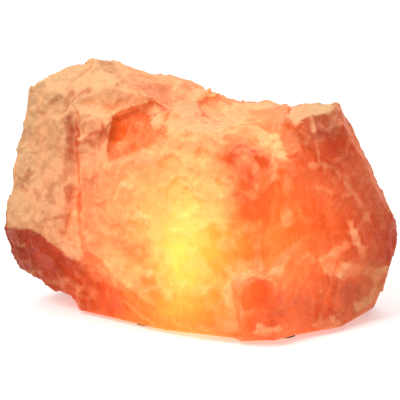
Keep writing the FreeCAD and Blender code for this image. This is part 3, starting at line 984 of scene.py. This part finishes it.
    def chip_at(self, place: Array, way: Array, depth: float, radius: float) -> None:
        """Break one flake at a place on the skin: its points go back along the flake's way onto a sphere.

        Args:
            place: the flake's middle, before it breaks off.
            way: unit vector that the flake's floor faces.
            depth: how deep the floor lies under the middle.
            radius: radius of the sphere that the floor is part of.
        """
        reach = self.flake_margin * math.sqrt(2 * radius * depth)
        near = np.flatnonzero((np.abs(self.points - place).max(axis=1) < reach) & (self.free > 0.0))
        offset = self.points[near] - place
        near = near[np.einsum("ij,ij->i", offset, offset) < reach * reach]
        offset = self.points[near] - place - way * (radius - depth)
        along = offset @ way
        across_squared = np.einsum("ij,ij->i", offset, offset) - along * along
        floor = -np.sqrt(np.maximum(radius * radius - across_squared, 0.0))
        facing = smoothstep(*self.flake_edge, self.normals[near] @ way)
        move = np.minimum(floor - along, 0.0) * self.free[near] * facing
        self.points[near] += np.where(along > floor, move, 0.0)[:, None] * way

    def beside(self, mesh: Mesh, values: Array) -> tuple[Array, Array]:
        """Gather one value per point from its neighbours.

        Args:
            mesh: the skin's mesh.
            values: one value for each point.

        Returns:
            For each point the sum over its neighbours, and how many they are.
        """
        ends = np.zeros(len(mesh.edges) * 2, dtype=np.int64)
        mesh.edges.foreach_get("vertices", ends)
        a, b = ends[0::2], ends[1::2]
        count = len(values)
        return (np.bincount(a, values[b], count) + np.bincount(b, values[a], count),
                np.bincount(a, minlength=count) + np.bincount(b, minlength=count))

    def bend(self, mesh: Mesh) -> Array:
        """How far each point stands out from its neighbours.

        Args:
            mesh: the skin's mesh.

        Returns:
            The distance in metres, positive on outer edges.
        """
        sums = (self.beside(mesh, self.points[:, axis]) for axis in range(3))
        middle = np.stack([total / degree for total, degree in sums], axis=1)
        return np.einsum("ij,ij->i", self.points - middle, self.normals)

    def even_out(self, mesh: Mesh, values: Array, rounds: int) -> Array:
        """Even out one value per point over its neighbours.

        Args:
            mesh: the skin's mesh.
            values: one value for each point.
            rounds: how many times it is done.

        Returns:
            The new values.
        """
        for _ in range(rounds):
            total, degree = self.beside(mesh, values)
            values = (values + total) / (degree + 1)
        return values

    def break_flakes(self, mesh: Mesh) -> None:
        """Break many small flakes: most off the outer edges, some out of the faces.

        Args:
            mesh: the skin's mesh.
        """
        rng = np.random.default_rng(self.seed)
        self.write(mesh)
        stands_out = self.bend(mesh)
        edges = np.flatnonzero((stands_out > self.edge_bend * self.voxel) & (self.free > 0.5))
        faces = np.flatnonzero((np.abs(stands_out) < self.flat_bend * self.voxel) & (self.free > 0.5))
        for pool, flakes in ((edges, self.edge_flakes), (faces, self.face_flakes)):
            for index in rng.choice(pool, flakes.number):
                tilt = unit(self.normals[index] + rng.normal(0.0, self.flake_tilt, 3))
                size = math.exp(rng.normal(0.0, self.flake_variety))
                radius = flakes.radius_mm * size * rng.uniform(*self.flake_roundness) * MM
                self.chip_at(self.points[index], tilt, flakes.depth_mm * size * MM, radius)

    def weather(self) -> None:
        """Give the skin its gentle waves, small lumps and small flat splits."""
        height = self.waves.at(self.points) * self.wave_height + self.lumps.at(self.points) * self.lump_height
        height += sum(self.cell_tilt(size, slope) for size, slope in self.splits) - self.worn_off
        self.points += self.normals * (height * self.free)[:, None]

    def cell_tilt(self, size: float, slope: float) -> Array:
        """Height of small flat splits: each point leans with the nearest of many loose seeds.

        Args:
            size: distance between seeds in metres.
            slope: how steeply a split leans.

        Returns:
            Height over the skin at each point, in metres.
        """
        rng = np.random.default_rng(self.seed + int(size / MM))
        low, high = self.points.min(axis=0), self.points.max(axis=0)
        count = int(np.prod((high - low) / size))
        seeds = rng.uniform(low, high, (count, 3))
        lean = rng.normal(0.0, slope, (count, 3))
        tree = KDTree(count)
        for index, place in enumerate(seeds):
            tree.insert(Vector(place), index)
        tree.balance()
        nearest = np.array([tree.find(Vector(p))[1] for p in self.points])
        return np.einsum("ij,ij->i", self.points - seeds[nearest], lean[nearest])

    def fill_out(self) -> None:
        """Bring the left tip, the right side and the peak back out by what the wear took off them."""
        right, left = (amount * smoothstep(start, end, side * self.points[:, 0])
                       for side, (amount, start, end) in ((1, self.right_tip), (-1, self.left_tip)))
        self.points[:, 0] += right - left
        amount, start, end = self.peak_tip
        self.points[:, 2] += amount * smoothstep(start, end, self.points[:, 2])

    def paint(self, mesh: Mesh) -> None:
        """Store the light and the frost of each point on the mesh.

        Args:
            mesh: the skin's mesh.
        """
        even = np.stack([self.even_out(mesh, part, self.light_rounds) for part in self.normals.T], axis=1)
        free_top = self.bore_top - self.glow.head_room
        light = self.glow.reach(self.points, unit(even), self.bore_radius, free_top)
        edges = self.even_out(mesh, np.maximum(self.bend(mesh), 0.0), self.edge_rounds) / self.voxel
        frost = self.even_out(mesh, self.facet_frost, self.frost_rounds) + self.edge_frost * edges
        frost += self.cloud_frost * self.frost_clouds.at(self.points)
        dim = self.even_out(mesh, self.facet_dim, self.dim_rounds)
        change = {Way.FROST: (frost, 1), Way.CLEAR: (frost, -1), Way.LIT: (dim, -1), Way.DIM: (dim, 1)}
        for mark, cover in self.marked():
            values, sign = change[mark.way]
            values += sign * mark.amount * cover
            log.debug("mark %s covers %d points", mark.name, np.count_nonzero(cover))
        light = np.minimum(light * np.exp(-dim[:, None] * np.array(self.dim_colour)), 1.0)
        rgba = np.ones((len(self.points), 4))
        rgba[:, :3] = light
        mesh.color_attributes.new("glow", "FLOAT_COLOR", "POINT").data.foreach_set("color", rgba.ravel())
        mesh.attributes.new("frost", "FLOAT", "POINT").data.foreach_set("value", np.clip(frost, 0.0, 1.0))

    def marked(self) -> Iterator[tuple[Mark, Array]]:
        """Find what each mark covers.

        Yields:
            Each mark, with how far it covers each point; points that face away from the camera have nothing.
        """
        u, v = self.camera.project(self.points)
        seen = np.einsum("ij,ij->i", self.normals, unit(self.camera.eye - self.points)) > self.grazing
        ragged = self.ragged.at(self.points)
        broken = self.broken_usual + self.broken_variety * self.broken.at(self.points)
        broken = np.clip(broken, 0.0, self.broken_most)
        for mark in self.marks:
            distance = path_distance(u, v, mark.path)
            distance = distance + ragged * min(self.most_ragged, self.ragged_share * mark.width)
            yield mark, seen * broken * (1 - smoothstep((1 - mark.soft) * mark.width, mark.width, distance))


# ------------------------------------------------------------------ holder, wings and bulb
THREAD_STEPS = 72
TURNED_SHARP = 60.0
WIRE_SHARP = 50.0


@dataclass(frozen=True)
class Thread:
    """Rolled round thread of the bulb's cap and of the sleeve round it."""

    pitch: float = 2.822 * MM
    depth: float = 0.35 * MM
    low: float = 42.2 * MM
    high: float = 52.8 * MM
    run_out: float = 0.8 * MM

    def hollow(self, turn: float, z: float) -> float:
        """What the radius loses.

        Args:
            turn: angle about the axis, in radians.
            z: height in metres; the thread runs out at low and high.

        Returns:
            The loss in metres.
        """
        wave = 0.5 - 0.5 * math.cos(2 * math.pi * z / self.pitch - turn)
        fade = min(max((z - self.low) / self.run_out, 0.0), max((self.high - z) / self.run_out, 0.0), 1.0)
        return self.depth * wave * fade


@dataclass
class LampHolder:
    """The holder in the hole: cap, shell, ceramic core, live parts, cord grip and its screws."""

    sleeve_inner: float = 7.2 * MM
    sleeve_wall: float = 0.35 * MM
    sleeve_step: float = 0.2 * MM
    slot_width: float = 0.5 * MM
    slot_depth: float = 0.5 * MM
    body: str = "lamp_unit"
    thread: Thread = Thread(depth=0.25 * MM, low=43.0 * MM, high=53.4 * MM)

    def build(self) -> None:
        """Dress the CAD pieces, and put the threaded sleeve and the slotted screws in."""
        phenolic, brass, zinc = PHENOLIC.build(), BRASS.build(), ZINC.build()
        for node in ("holder_cap", "holder_shell", "cord_grip_bar"):
            dress(bpy.data.objects[node], phenolic)
        for node in ("side_contact", "centre_contact"):
            dress(bpy.data.objects[node], brass)
        dress(bpy.data.objects["cord_gland"], CHLOROPRENE.build())
        dress(bpy.data.objects["holder_insert"], STEATITE.build())
        finish_piece(self.sleeve(), "screw_shell", self.body, brass)
        for node, out in (("grip_screws", Vector((0, 1, 0))), ("terminal_screws", Vector((0, 0, -1)))):
            finish_piece(self.screws(node, out), node, self.body, zinc)

    def sleeve(self) -> Piece:
        """Make the thin brass sleeve with the thread rolled into it.

        Returns:
            The sleeve.
        """
        levels = even_steps(*heights("screw_shell"), self.sleeve_step)
        profile = [(self.sleeve_inner + self.sleeve_wall, z) for z in levels]
        profile += [(self.sleeve_inner, z) for z in reversed(levels)]
        mesh = turned("threaded_sleeve", profile, THREAD_STEPS, self.thread.hollow)
        return new_piece("threaded_sleeve", mesh, TURNED_SHARP)

    def screws(self, node: str, out: Vector) -> Piece:
        """Copy a CAD pair of pan-head screws and cut a slot into each head.

        Args:
            node: the CAD node of the pair.
            out: the way that the heads face.

        Returns:
            The pair as one piece.
        """
        source = bpy.data.objects[node]
        points = [source.matrix_world @ vertex.co for vertex in source.data.vertices]
        low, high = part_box(node)
        middle = (low + high) / 2
        face = high if sum(out) > 0 else low
        cutter = bmesh.new()
        for side in (-1, 1):
            xs = [point.x for point in points if side * (point.x - middle.x) > 0]
            place = Vector((
                (min(xs) + max(xs)) / 2, (face if out.y else middle).y, (face if out.z else middle).z))
            deep, wide = 2 * self.slot_depth, self.slot_width
            size = (2 * (max(xs) - min(xs)), *((wide, deep) if out.z else (deep, wide)), 1.0)
            bmesh.ops.create_cube(cutter, size=1.0, matrix=Matrix.Translation(place) @ Matrix.Diagonal(size))
        tool_mesh = bpy.data.meshes.new("slot_tool")
        cutter.to_mesh(tool_mesh)
        cutter.free()
        tool = add_object("slot_tool", tool_mesh)
        blank = add_object(node + "_slotted", source.data.copy())
        cut = blank.modifiers.new("slots", "BOOLEAN")
        cut.operation = "DIFFERENCE"
        cut.object = tool
        cut.solver = "EXACT"
        mesh = evaluated(blank)
        bpy.data.objects.remove(blank)
        bpy.data.objects.remove(tool)
        return new_piece(node + "_slotted", mesh)


@dataclass
class SpringWing:
    """One spring-wire wing with smooth bends."""

    side: int
    wire_radius: float = 0.7 * MM
    half_width: float = 8.0 * MM
    pivot: Pair = (15.5 * MM, 50.0 * MM)
    bow: float = 19.4 * MM
    bow_top: float = 11.0 * MM
    bow_foot: float = 17.0 * MM
    foot_drop: float = 37.0 * MM
    foot_inset: float = 1.2 * MM
    pin_half_gap: float = 2.0 * MM
    bend: float = 2.2 * MM

    def build(self, material: Material) -> None:
        """Make the wing and let it stand for its CAD node.

        Args:
            material: the wire's material.
        """
        name = "left" if self.side < 0 else "right"
        x, z = self.pivot
        profile = ((x, z), (self.bow, z - self.bow_top), (self.bow, z - self.bow_foot),
                   (x - self.foot_inset, z - self.foot_drop))
        front = [Vector((self.side * px, -self.half_width, pz)) for px, pz in profile]
        back = [Vector((p.x, -p.y, p.z)) for p in reversed(front)]
        first = Vector((self.side * x, -self.pin_half_gap, z))
        last = Vector((self.side * x, self.pin_half_gap, z))
        mesh = wire("wing_" + name, [first] + front + back + [last], self.bend, self.wire_radius, sides=4)
        finish_piece(new_piece("wing_" + name, mesh, WIRE_SHARP), "clip_wing_" + name, "clip_" + name,
                     material)


@dataclass
class Bulb:
    """The small clear bulb: blown glass, rolled cap, glass mount, wires and coiled filament."""

    glass_radius: float = 13.0 * MM
    neck_radius: float = 6.2 * MM
    neck_top: float = 56.6 * MM
    shoulder: float = 16.0 * MM
    glass_wall: float = 0.8 * MM
    curve_steps: int = 24
    pole_radius: float = 0.01 * MM
    cap_radius: float = 6.9 * MM
    cap_wall: float = 0.3 * MM
    cap_mouth: float = 5.3 * MM
    cap_roll: float = 0.4 * MM
    cap_flare: float = 1.3 * MM
    cap_flare_height: float = 1.8 * MM
    cap_step: float = 0.2 * MM
    lead_radius: float = 0.35 * MM
    lead_root: float = 1.25 * MM
    lead_knee: float = 0.4 * MM
    lead_knee_height: float = 0.35
    lead_bend: float = 1.6 * MM
    lead_spread: float = 6.5 * MM
    filament_bow: float = 3.5 * MM
    coil_radius: float = 0.36 * MM
    coil_wire: float = 0.09 * MM
    coil_turns: int = 46
    coil_steps: int = 8
    body: str = "bulb"
    thread: Thread = Thread()

    def build(self) -> None:
        """Make and dress every piece of the bulb."""
        glass, nickel = BlownGlass().build(), NICKEL.build()
        finish_piece(self.envelope(), "bulb_glass", self.body, glass)
        finish_piece(self.cap(), "bulb_cap", self.body, nickel)
        finish_piece(self.leads(), "lead_wires", self.body, nickel)
        finish_piece(self.coil(), "filament", self.body, HotTungsten().build())
        dress(bpy.data.objects["bulb_stem"], glass)
        dress(bpy.data.objects["support_wires"], nickel)
        dress(bpy.data.objects["bulb_insulator"], VITRITE.build())
        dress(bpy.data.objects["bulb_tip_contact"], SOLDER.build())

    def outline(self, inset: float) -> list[Pair]:
        """Line of the glass from the neck's foot to the top.

        Args:
            inset: how far the line is moved in.

        Returns:
            Its (radius, height) points.
        """
        foot, top = heights("bulb_glass")
        neck, belly = self.neck_radius - inset, self.glass_radius - inset
        points = [(neck, foot)]
        for i in range(self.curve_steps + 1):
            share = i / self.curve_steps
            ease = (1 - math.cos(math.pi * share)) / 2
            points.append((neck + (belly - neck) * ease, self.neck_top + self.shoulder * share))
        for i in range(1, self.curve_steps + 1):
            turn = math.pi / 2 * i / self.curve_steps
            radius = max(belly * math.cos(turn), self.pole_radius)
            points.append((radius, top - self.glass_radius + belly * math.sin(turn)))
        return points

    def envelope(self) -> Piece:
        """Blown glass envelope with a smooth shoulder and dome."""
        mesh = turned("envelope", self.outline(0.0) + self.outline(self.glass_wall)[::-1])
        return new_piece("envelope", mesh, TURNED_SHARP)

    def cap(self) -> Piece:
        """Make the screw cap with its rolled thread, turned in at the foot and flared to the glass.

        Returns:
            The cap.
        """
        low, high = heights("bulb_cap")
        straight = even_steps(low + self.cap_roll, high - self.cap_flare_height, self.cap_step)
        flared = self.cap_radius + self.cap_flare
        profile = [(self.cap_mouth, low), (self.cap_radius - self.cap_roll, low)]
        profile += [(self.cap_radius, z) for z in straight]
        profile += [(flared, high), (flared - self.cap_wall, high)]
        profile += [(self.cap_radius - self.cap_wall, z) for z in reversed(straight)]
        profile += [(self.cap_mouth, low + self.cap_wall)]
        mesh = turned("rolled_cap", profile, THREAD_STEPS, self.thread.hollow)
        return new_piece("rolled_cap", mesh, TURNED_SHARP)

    def leads(self) -> Piece:
        """Make two stout wires from the glass mount out to the filament's ends.

        Returns:
            Both wires as one piece.
        """
        low, high = heights("lead_wires")
        both = bmesh.new()
        for side in (-1, 1):
            root = Vector((side * self.lead_root, 0, low))
            knee = root + Vector((side * self.lead_knee, 0, self.lead_knee_height * (high - low)))
            end = Vector((side * self.lead_spread, 0, high - self.lead_radius))
            both.from_mesh(wire("lead", [root, knee, end], self.lead_bend, self.lead_radius))
        mesh = bpy.data.meshes.new("leads")
        both.to_mesh(mesh)
        both.free()
        return new_piece("leads", mesh, WIRE_SHARP)

    def coil(self) -> Piece:
        """Make the filament: one fine helix along a shallow arc that bows to the front.

        Returns:
            The filament.
        """
        middle = sum(heights("filament")) / 2
        radius = (self.lead_spread ** 2 + self.filament_bow ** 2) / (2 * self.filament_bow)
        half = math.asin(self.lead_spread / radius)
        steps = self.coil_turns * self.coil_steps
        guides = []
        for i in range(steps + 1):
            turn = half * (2 * i / steps - 1)
            wound = 2 * math.pi / self.coil_steps * i
            reach = radius + self.coil_radius * math.cos(wound)
            guides.append(Vector((reach * math.sin(turn), radius - self.filament_bow - reach * math.cos(turn),
                                  middle + self.coil_radius * math.sin(wound))))
        return new_piece("coil", wire_along("coil", guides, self.coil_wire, sides=1, fine=2), TURNED_SHARP)


# ------------------------------------------------------------------ stage
@dataclass
class Stage:
    """White room: floor, daylight from above, one soft light from the upper left, and a weak fill."""

    floor_half: float = 3.0
    floor_colour: str = "F7F6F4"
    floor_rough: float = 0.7
    floor_white: float = 0.35
    daylight: float = 1.25
    daylight_spread: float = 60.0
    key_place: Triple = (-1.0, -0.9, 1.5)
    key_aim: Triple = (0.0, 0.0, 0.07)
    key_size: float = 1.0
    key_power: float = 19.0
    fill: float = 0.32

    def build(self) -> None:
        """Make the floor, the lights and the world."""
        self.add_floor()
        self.add_daylight()
        self.add_key()
        self.set_world()

    def add_floor(self) -> None:
        """Lay a wide pale floor under the lamp; what the camera sees of it is lifted towards white."""
        half = self.floor_half
        mesh = bpy.data.meshes.new("floor")
        mesh.from_pydata([(-half, -half, 0), (half, -half, 0), (half, half, 0), (-half, half, 0)], [],
                         [(0, 1, 2, 3)])
        floor = add_object("floor", mesh)
        material, tree = new_material("pale_floor")
        seen = add_node(tree, "ShaderNodeMath", {0: self.seen_directly(tree), 1: self.floor_white},
                        operation="MULTIPLY")
        surface = add_node(tree, "ShaderNodeBsdfPrincipled", {
            "Base Color": linear(self.floor_colour), "Roughness": self.floor_rough,
            "Emission Color": linear("FFFFFF"), "Emission Strength": seen})
        add_node(tree, "ShaderNodeOutputMaterial", {"Surface": surface})
        dress(floor, material)
        floor.visible_diffuse = False

    def seen_directly(self, tree: Tree) -> Node:
        """Tell the camera's view from other light.

        Args:
            tree: the node tree of a material or of the world.

        Returns:
            The node that gives 1 for what the camera sees, by itself or in a shiny or clear piece, else 0.
        """
        path = add_node(tree, "ShaderNodeLightPath")
        direct = add_node(tree, "ShaderNodeMath", {
            0: path.outputs["Is Camera Ray"], 1: path.outputs["Is Glossy Ray"]}, operation="ADD")
        return add_node(tree, "ShaderNodeMath", {0: direct, 1: path.outputs["Is Transmission Ray"]},
                        operation="ADD", use_clamp=True)

    def add_daylight(self) -> None:
        """Add even soft light from straight above, the same all over the floor."""
        data = bpy.data.lights.new("daylight", "SUN")
        data.energy = self.daylight
        data.angle = math.radians(self.daylight_spread)
        add_object("daylight", data)

    def add_key(self) -> None:
        """Add a square area light that faces the lamp."""
        data = bpy.data.lights.new("key", "AREA")
        data.size = self.key_size
        data.energy = self.key_power
        light = add_object("key", data)
        light.location = self.key_place
        toward = Vector(self.key_aim) - Vector(self.key_place)
        light.rotation_euler = toward.to_track_quat("-Z", "Y").to_euler()

    def set_world(self) -> None:
        """Set even daylight, white where the camera or a clear or shiny piece looks at it."""
        world = bpy.data.worlds.new("room")
        bpy.context.scene.world = world
        world.use_nodes = True
        tree = world.node_tree
        tree.nodes.clear()
        strength = add_node(tree, "ShaderNodeMapRange", {
            "Value": self.seen_directly(tree), "To Min": self.fill, "To Max": 1.0})
        sky = add_node(tree, "ShaderNodeBackground", {"Color": linear("FFFFFF"), "Strength": strength})
        add_node(tree, "ShaderNodeOutputWorld", {"Surface": sky})


FACETS = (
    Facet("end_face", (30, 150), 0.84),
    Facet("end_face_upper", (55, 95), 0.95),
    Facet("peak_front", (85, 75), 0.95),
    Facet("saddle", (215, 108), 0.75, 0.3),
    Facet("channel", (72, 150), 0.25, 0.45),
    Facet("front_left", (110, 200), 0.6, 0.1),
    Facet("face_right", (230, 200), 0.24, 0.2),
    Facet("prow", (270, 230), 0.22),
    Facet("ledge_top", (110, 103), 1.0),
    Facet("notch_side", (95, 130), 0.7),
    Facet("notch_floor", (130, 128), 0.0),
    Facet("top_slope", (160, 88), 0.5, 0.2),
    Facet("under_left", (60, 258), 0.0, 0.15),
    Facet("under_front", (110, 300), 0.0, 0.25),
    Facet("front_upper", (305, 140), 0.12, 0.8),
    Facet("front_corner", (325, 138), 0.10, 0.75),
    Facet("front_low", (310, 200), 0.05),
    Facet("front_ridge", (345, 200), 0.06, 0.1),
    Facet("front_side", (370, 220), 0.10, 0.1),
    Facet("shoulder_top", (318, 109), 0.85, 1.0),
    Facet("toe", (260, 300), 0.08, 0.1),
)
MARKS = (
    Mark("end_face_streaks", Way.FROST, ((24, 128), (40, 112), (58, 104)), 5, 0.35, 0.9),
    Mark("end_face_band", Way.CLEAR, ((20, 180), (38, 178), (54, 184)), 7, 0.4, 0.9),
    Mark("front_left_lip", Way.FROST, ((80, 150), (80, 175), (74, 215), (68, 236)), 4, 0.35, 0.7),
    Mark("under_lip", Way.FROST, ((66, 240), (90, 262), (118, 280)), 6, 0.4, 0.8),
    Mark("end_face_ridge", Way.FROST, ((56, 165), (60, 200), (62, 226)), 4, 0.3),
    Mark("end_face_crease", Way.CLEAR, ((18, 186), (36, 190), (54, 200)), 7, 0.3, 0.9),
    Mark("peak_root", Way.CLEAR, ((76, 95), (92, 92), (106, 89)), 5, 0.45, 1.0),
    Mark("ledge", Way.FROST, ((84, 107), (110, 103), (136, 101)), 12, 0.6, 0.5),
    Mark("ledge_end", Way.FROST, ((77, 112), (79, 132)), 5, 0.5, 0.8),
    Mark("second_ledge", Way.FROST, ((150, 108), (162, 112), (172, 118)), 5, 0.4, 0.8),
    Mark("face_upper", Way.FROST, ((92, 156), (140, 150), (205, 142)), 24, 0.25, 0.8),
    Mark("face_toe", Way.FROST, ((118, 282), (128, 294), (136, 306)), 7, 0.3, 0.9),
    Mark("rim_left", Way.FROST, ((28, 272), (46, 280), (64, 286)), 6, 0.6, 0.8),
    Mark("crest", Way.FROST, ((163, 124), (174, 120), (188, 124), (202, 128), (233, 128), (254, 132),
                              (268, 138), (278, 146), (278, 164), (268, 174), (263, 184)), 9, 0.8, 0.5),
    Mark("crest_apron", Way.FROST, ((166, 130), (186, 134)), 9, 0.35, 0.8),
    Mark("crest_corner", Way.FROST, ((262, 142), (272, 152)), 11, 0.3, 0.8),
    Mark("slope_patch", Way.FROST, ((178, 91), (196, 95), (212, 99)), 7, 0.5, 0.6),
    Mark("shoulder_line", Way.FROST, ((312, 118), (316, 142), (320, 164)), 2, 0.5, 0.8),
    Mark("ridge", Way.FROST, ((312, 166), (322, 164), (336, 170), (346, 182), (360, 205), (366, 218)),
         3, 0.5, 0.8),
    Mark("chip_low", Way.FROST, ((330, 262), (336, 254), (346, 244)), 6, 0.75, 0.8),
    Mark("chip_high", Way.FROST, ((351, 224), (356, 238), (363, 254), (366, 270)), 5, 0.75, 0.8),
    Mark("shelf", Way.FROST, ((320, 262), (346, 271), (383, 275)), 9, 0.8, 0.6),
    Mark("foot_right", Way.FROST, ((360, 305), (378, 295)), 9, 0.6, 0.8),
    Mark("foot_low", Way.FROST, ((322, 324), (336, 326)), 8, 0.9, 0.6),
    Mark("foot_middle", Way.FROST, ((263, 330), (278, 330)), 7, 0.9, 0.6),
    Mark("pale_chip", Way.FROST, ((284, 208), (288, 214), (290, 220)), 6, 0.7, 0.5),
    Mark("valley", Way.FROST, ((289, 166), (288, 200)), 9, 0.4, 0.9),
    Mark("toe_lip", Way.FROST, ((229, 302), (226, 288), (236, 277), (258, 272), (280, 270)), 5, 0.5, 0.7),
    Mark("toe_streak", Way.FROST, ((286, 268), (285, 300)), 4, 0.25, 0.9),
    Mark("core", Way.CLEAR, ((192, 255), (185, 325)), 48, 0.6, 0.9),
    Mark("channel_strip", Way.CLEAR, ((72, 120), (73, 160), (71, 200), (65, 232)), 10, 0.7, 0.6),
    Mark("channel_top", Way.CLEAR, ((70, 96), (63, 110), (70, 128)), 8, 0.5, 0.8),
    Mark("end_face_light", Way.LIT, ((36, 96), (44, 108), (34, 140)), 20, 0.6, 1.0),
    Mark("ledge_light", Way.LIT, ((94, 108), (132, 103)), 12, 0.3, 0.8),
    Mark("ledge_white", Way.FROST, ((96, 108), (132, 103)), 9, 0.4, 0.6),
    Mark("shoulder_top_shade", Way.DIM, ((304, 112), (332, 108)), 14, 0.35, 0.9),
    Mark("flank_light", Way.LIT, ((336, 205), (344, 245)), 24, 0.2, 1.0),
    Mark("under_left_clear", Way.CLEAR, ((25, 240), (60, 262)), 16, 0.3, 0.9),
    Mark("channel_light", Way.LIT, ((72, 130), (73, 160), (71, 200), (65, 232)), 10, 0.15, 0.8),
    Mark("right_of_core", Way.CLEAR, ((232, 164), (252, 178), (248, 215), (240, 250)), 34, 0.7, 1.0),
    Mark("right_of_core_rest", Way.CLEAR, ((258, 165), (258, 290)), 14, 0.3, 0.8),
    Mark("low_of_core", Way.CLEAR, ((222, 235), (214, 310)), 24, 0.35, 1.0),
    Mark("left_of_core", Way.CLEAR, ((128, 225), (156, 290)), 26, 0.35, 1.0),
    Mark("right_of_core_shade", Way.DIM, ((236, 160), (250, 172), (250, 200)), 36, 0.42, 1.0),
    Mark("slope_shade", Way.DIM, ((120, 85), (170, 98), (205, 105)), 20, 0.15, 1.0),
    Mark("core_glow", Way.LIT, ((178, 235), (172, 300)), 30, 0.15, 1.0),
    Mark("foot_clear", Way.CLEAR, ((150, 296), (220, 325)), 24, 0.4, 1.0),
    Mark("left_of_core_shade", Way.DIM, ((124, 222), (156, 288)), 30, 0.35, 1.0),
    Mark("face_top_shade", Way.DIM, ((140, 158), (190, 160)), 26, 0.3, 1.0),
    Mark("end_face_shade", Way.DIM, ((54, 100), (64, 130), (52, 205)), 18, 0.25, 1.0),
    Mark("under_clear", Way.CLEAR, ((76, 272), (120, 306)), 20, 0.3, 0.8),
    Mark("under_shade", Way.DIM, ((70, 264), (112, 300)), 26, 0.45, 0.9),
    Mark("notch_clear", Way.CLEAR, ((92, 138), (112, 131), (126, 128)), 11, 0.7, 0.5),
    Mark("notch_lip", Way.FROST, ((114, 105), (136, 103), (152, 108)), 7, 0.6, 0.5),
    # Painted light: more of the bulb's light comes out along this wide band below the hole.
    Mark("vein_light", Way.LIT, ((200, 235), (185, 275), (182, 330)), 50, 0.22, 0.9),
    Mark("corner_shade", Way.DIM, ((322, 140), (336, 158)), 22, 0.3, 0.9),
    Mark("shoulder_shade", Way.DIM, ((300, 110), (330, 112)), 12, 0.5, 0.9),
    Mark("channel_shade", Way.DIM, ((72, 120), (73, 160), (71, 200), (65, 232)), 11, 0.15, 0.8),
    Mark("crest_shade", Way.DIM, ((160, 112), (200, 122), (258, 134)), 20, 0.45, 0.9),
    Mark("toe_shade", Way.DIM, ((246, 284), (264, 300), (262, 330)), 28, 0.25, 0.6),
    Mark("foot_shade", Way.DIM, ((300, 305), (345, 300)), 36, 0.6, 0.8),
)


def main() -> None:
    """Build and dress everything, and log the faces of each new piece."""
    logging.basicConfig(level=logging.INFO)
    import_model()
    bpy.context.scene.view_settings.view_transform = "Standard"
    camera = PhotoCamera()
    camera.add()
    Stage().build()
    skin = SaltCrystal(camera, FACETS, MARKS).build("salt_crystal")
    log.info("%s: %d faces", skin.name, len(skin.data.polygons))
    dress(bpy.data.objects["base_pads"], WoolFelt().build())
    LampHolder().build()
    spring_wire = SPRING_WIRE.build()
    for side in (-1, 1):
        SpringWing(side).build(spring_wire)
    Bulb().build()


if __name__ == "__main__":
    main()
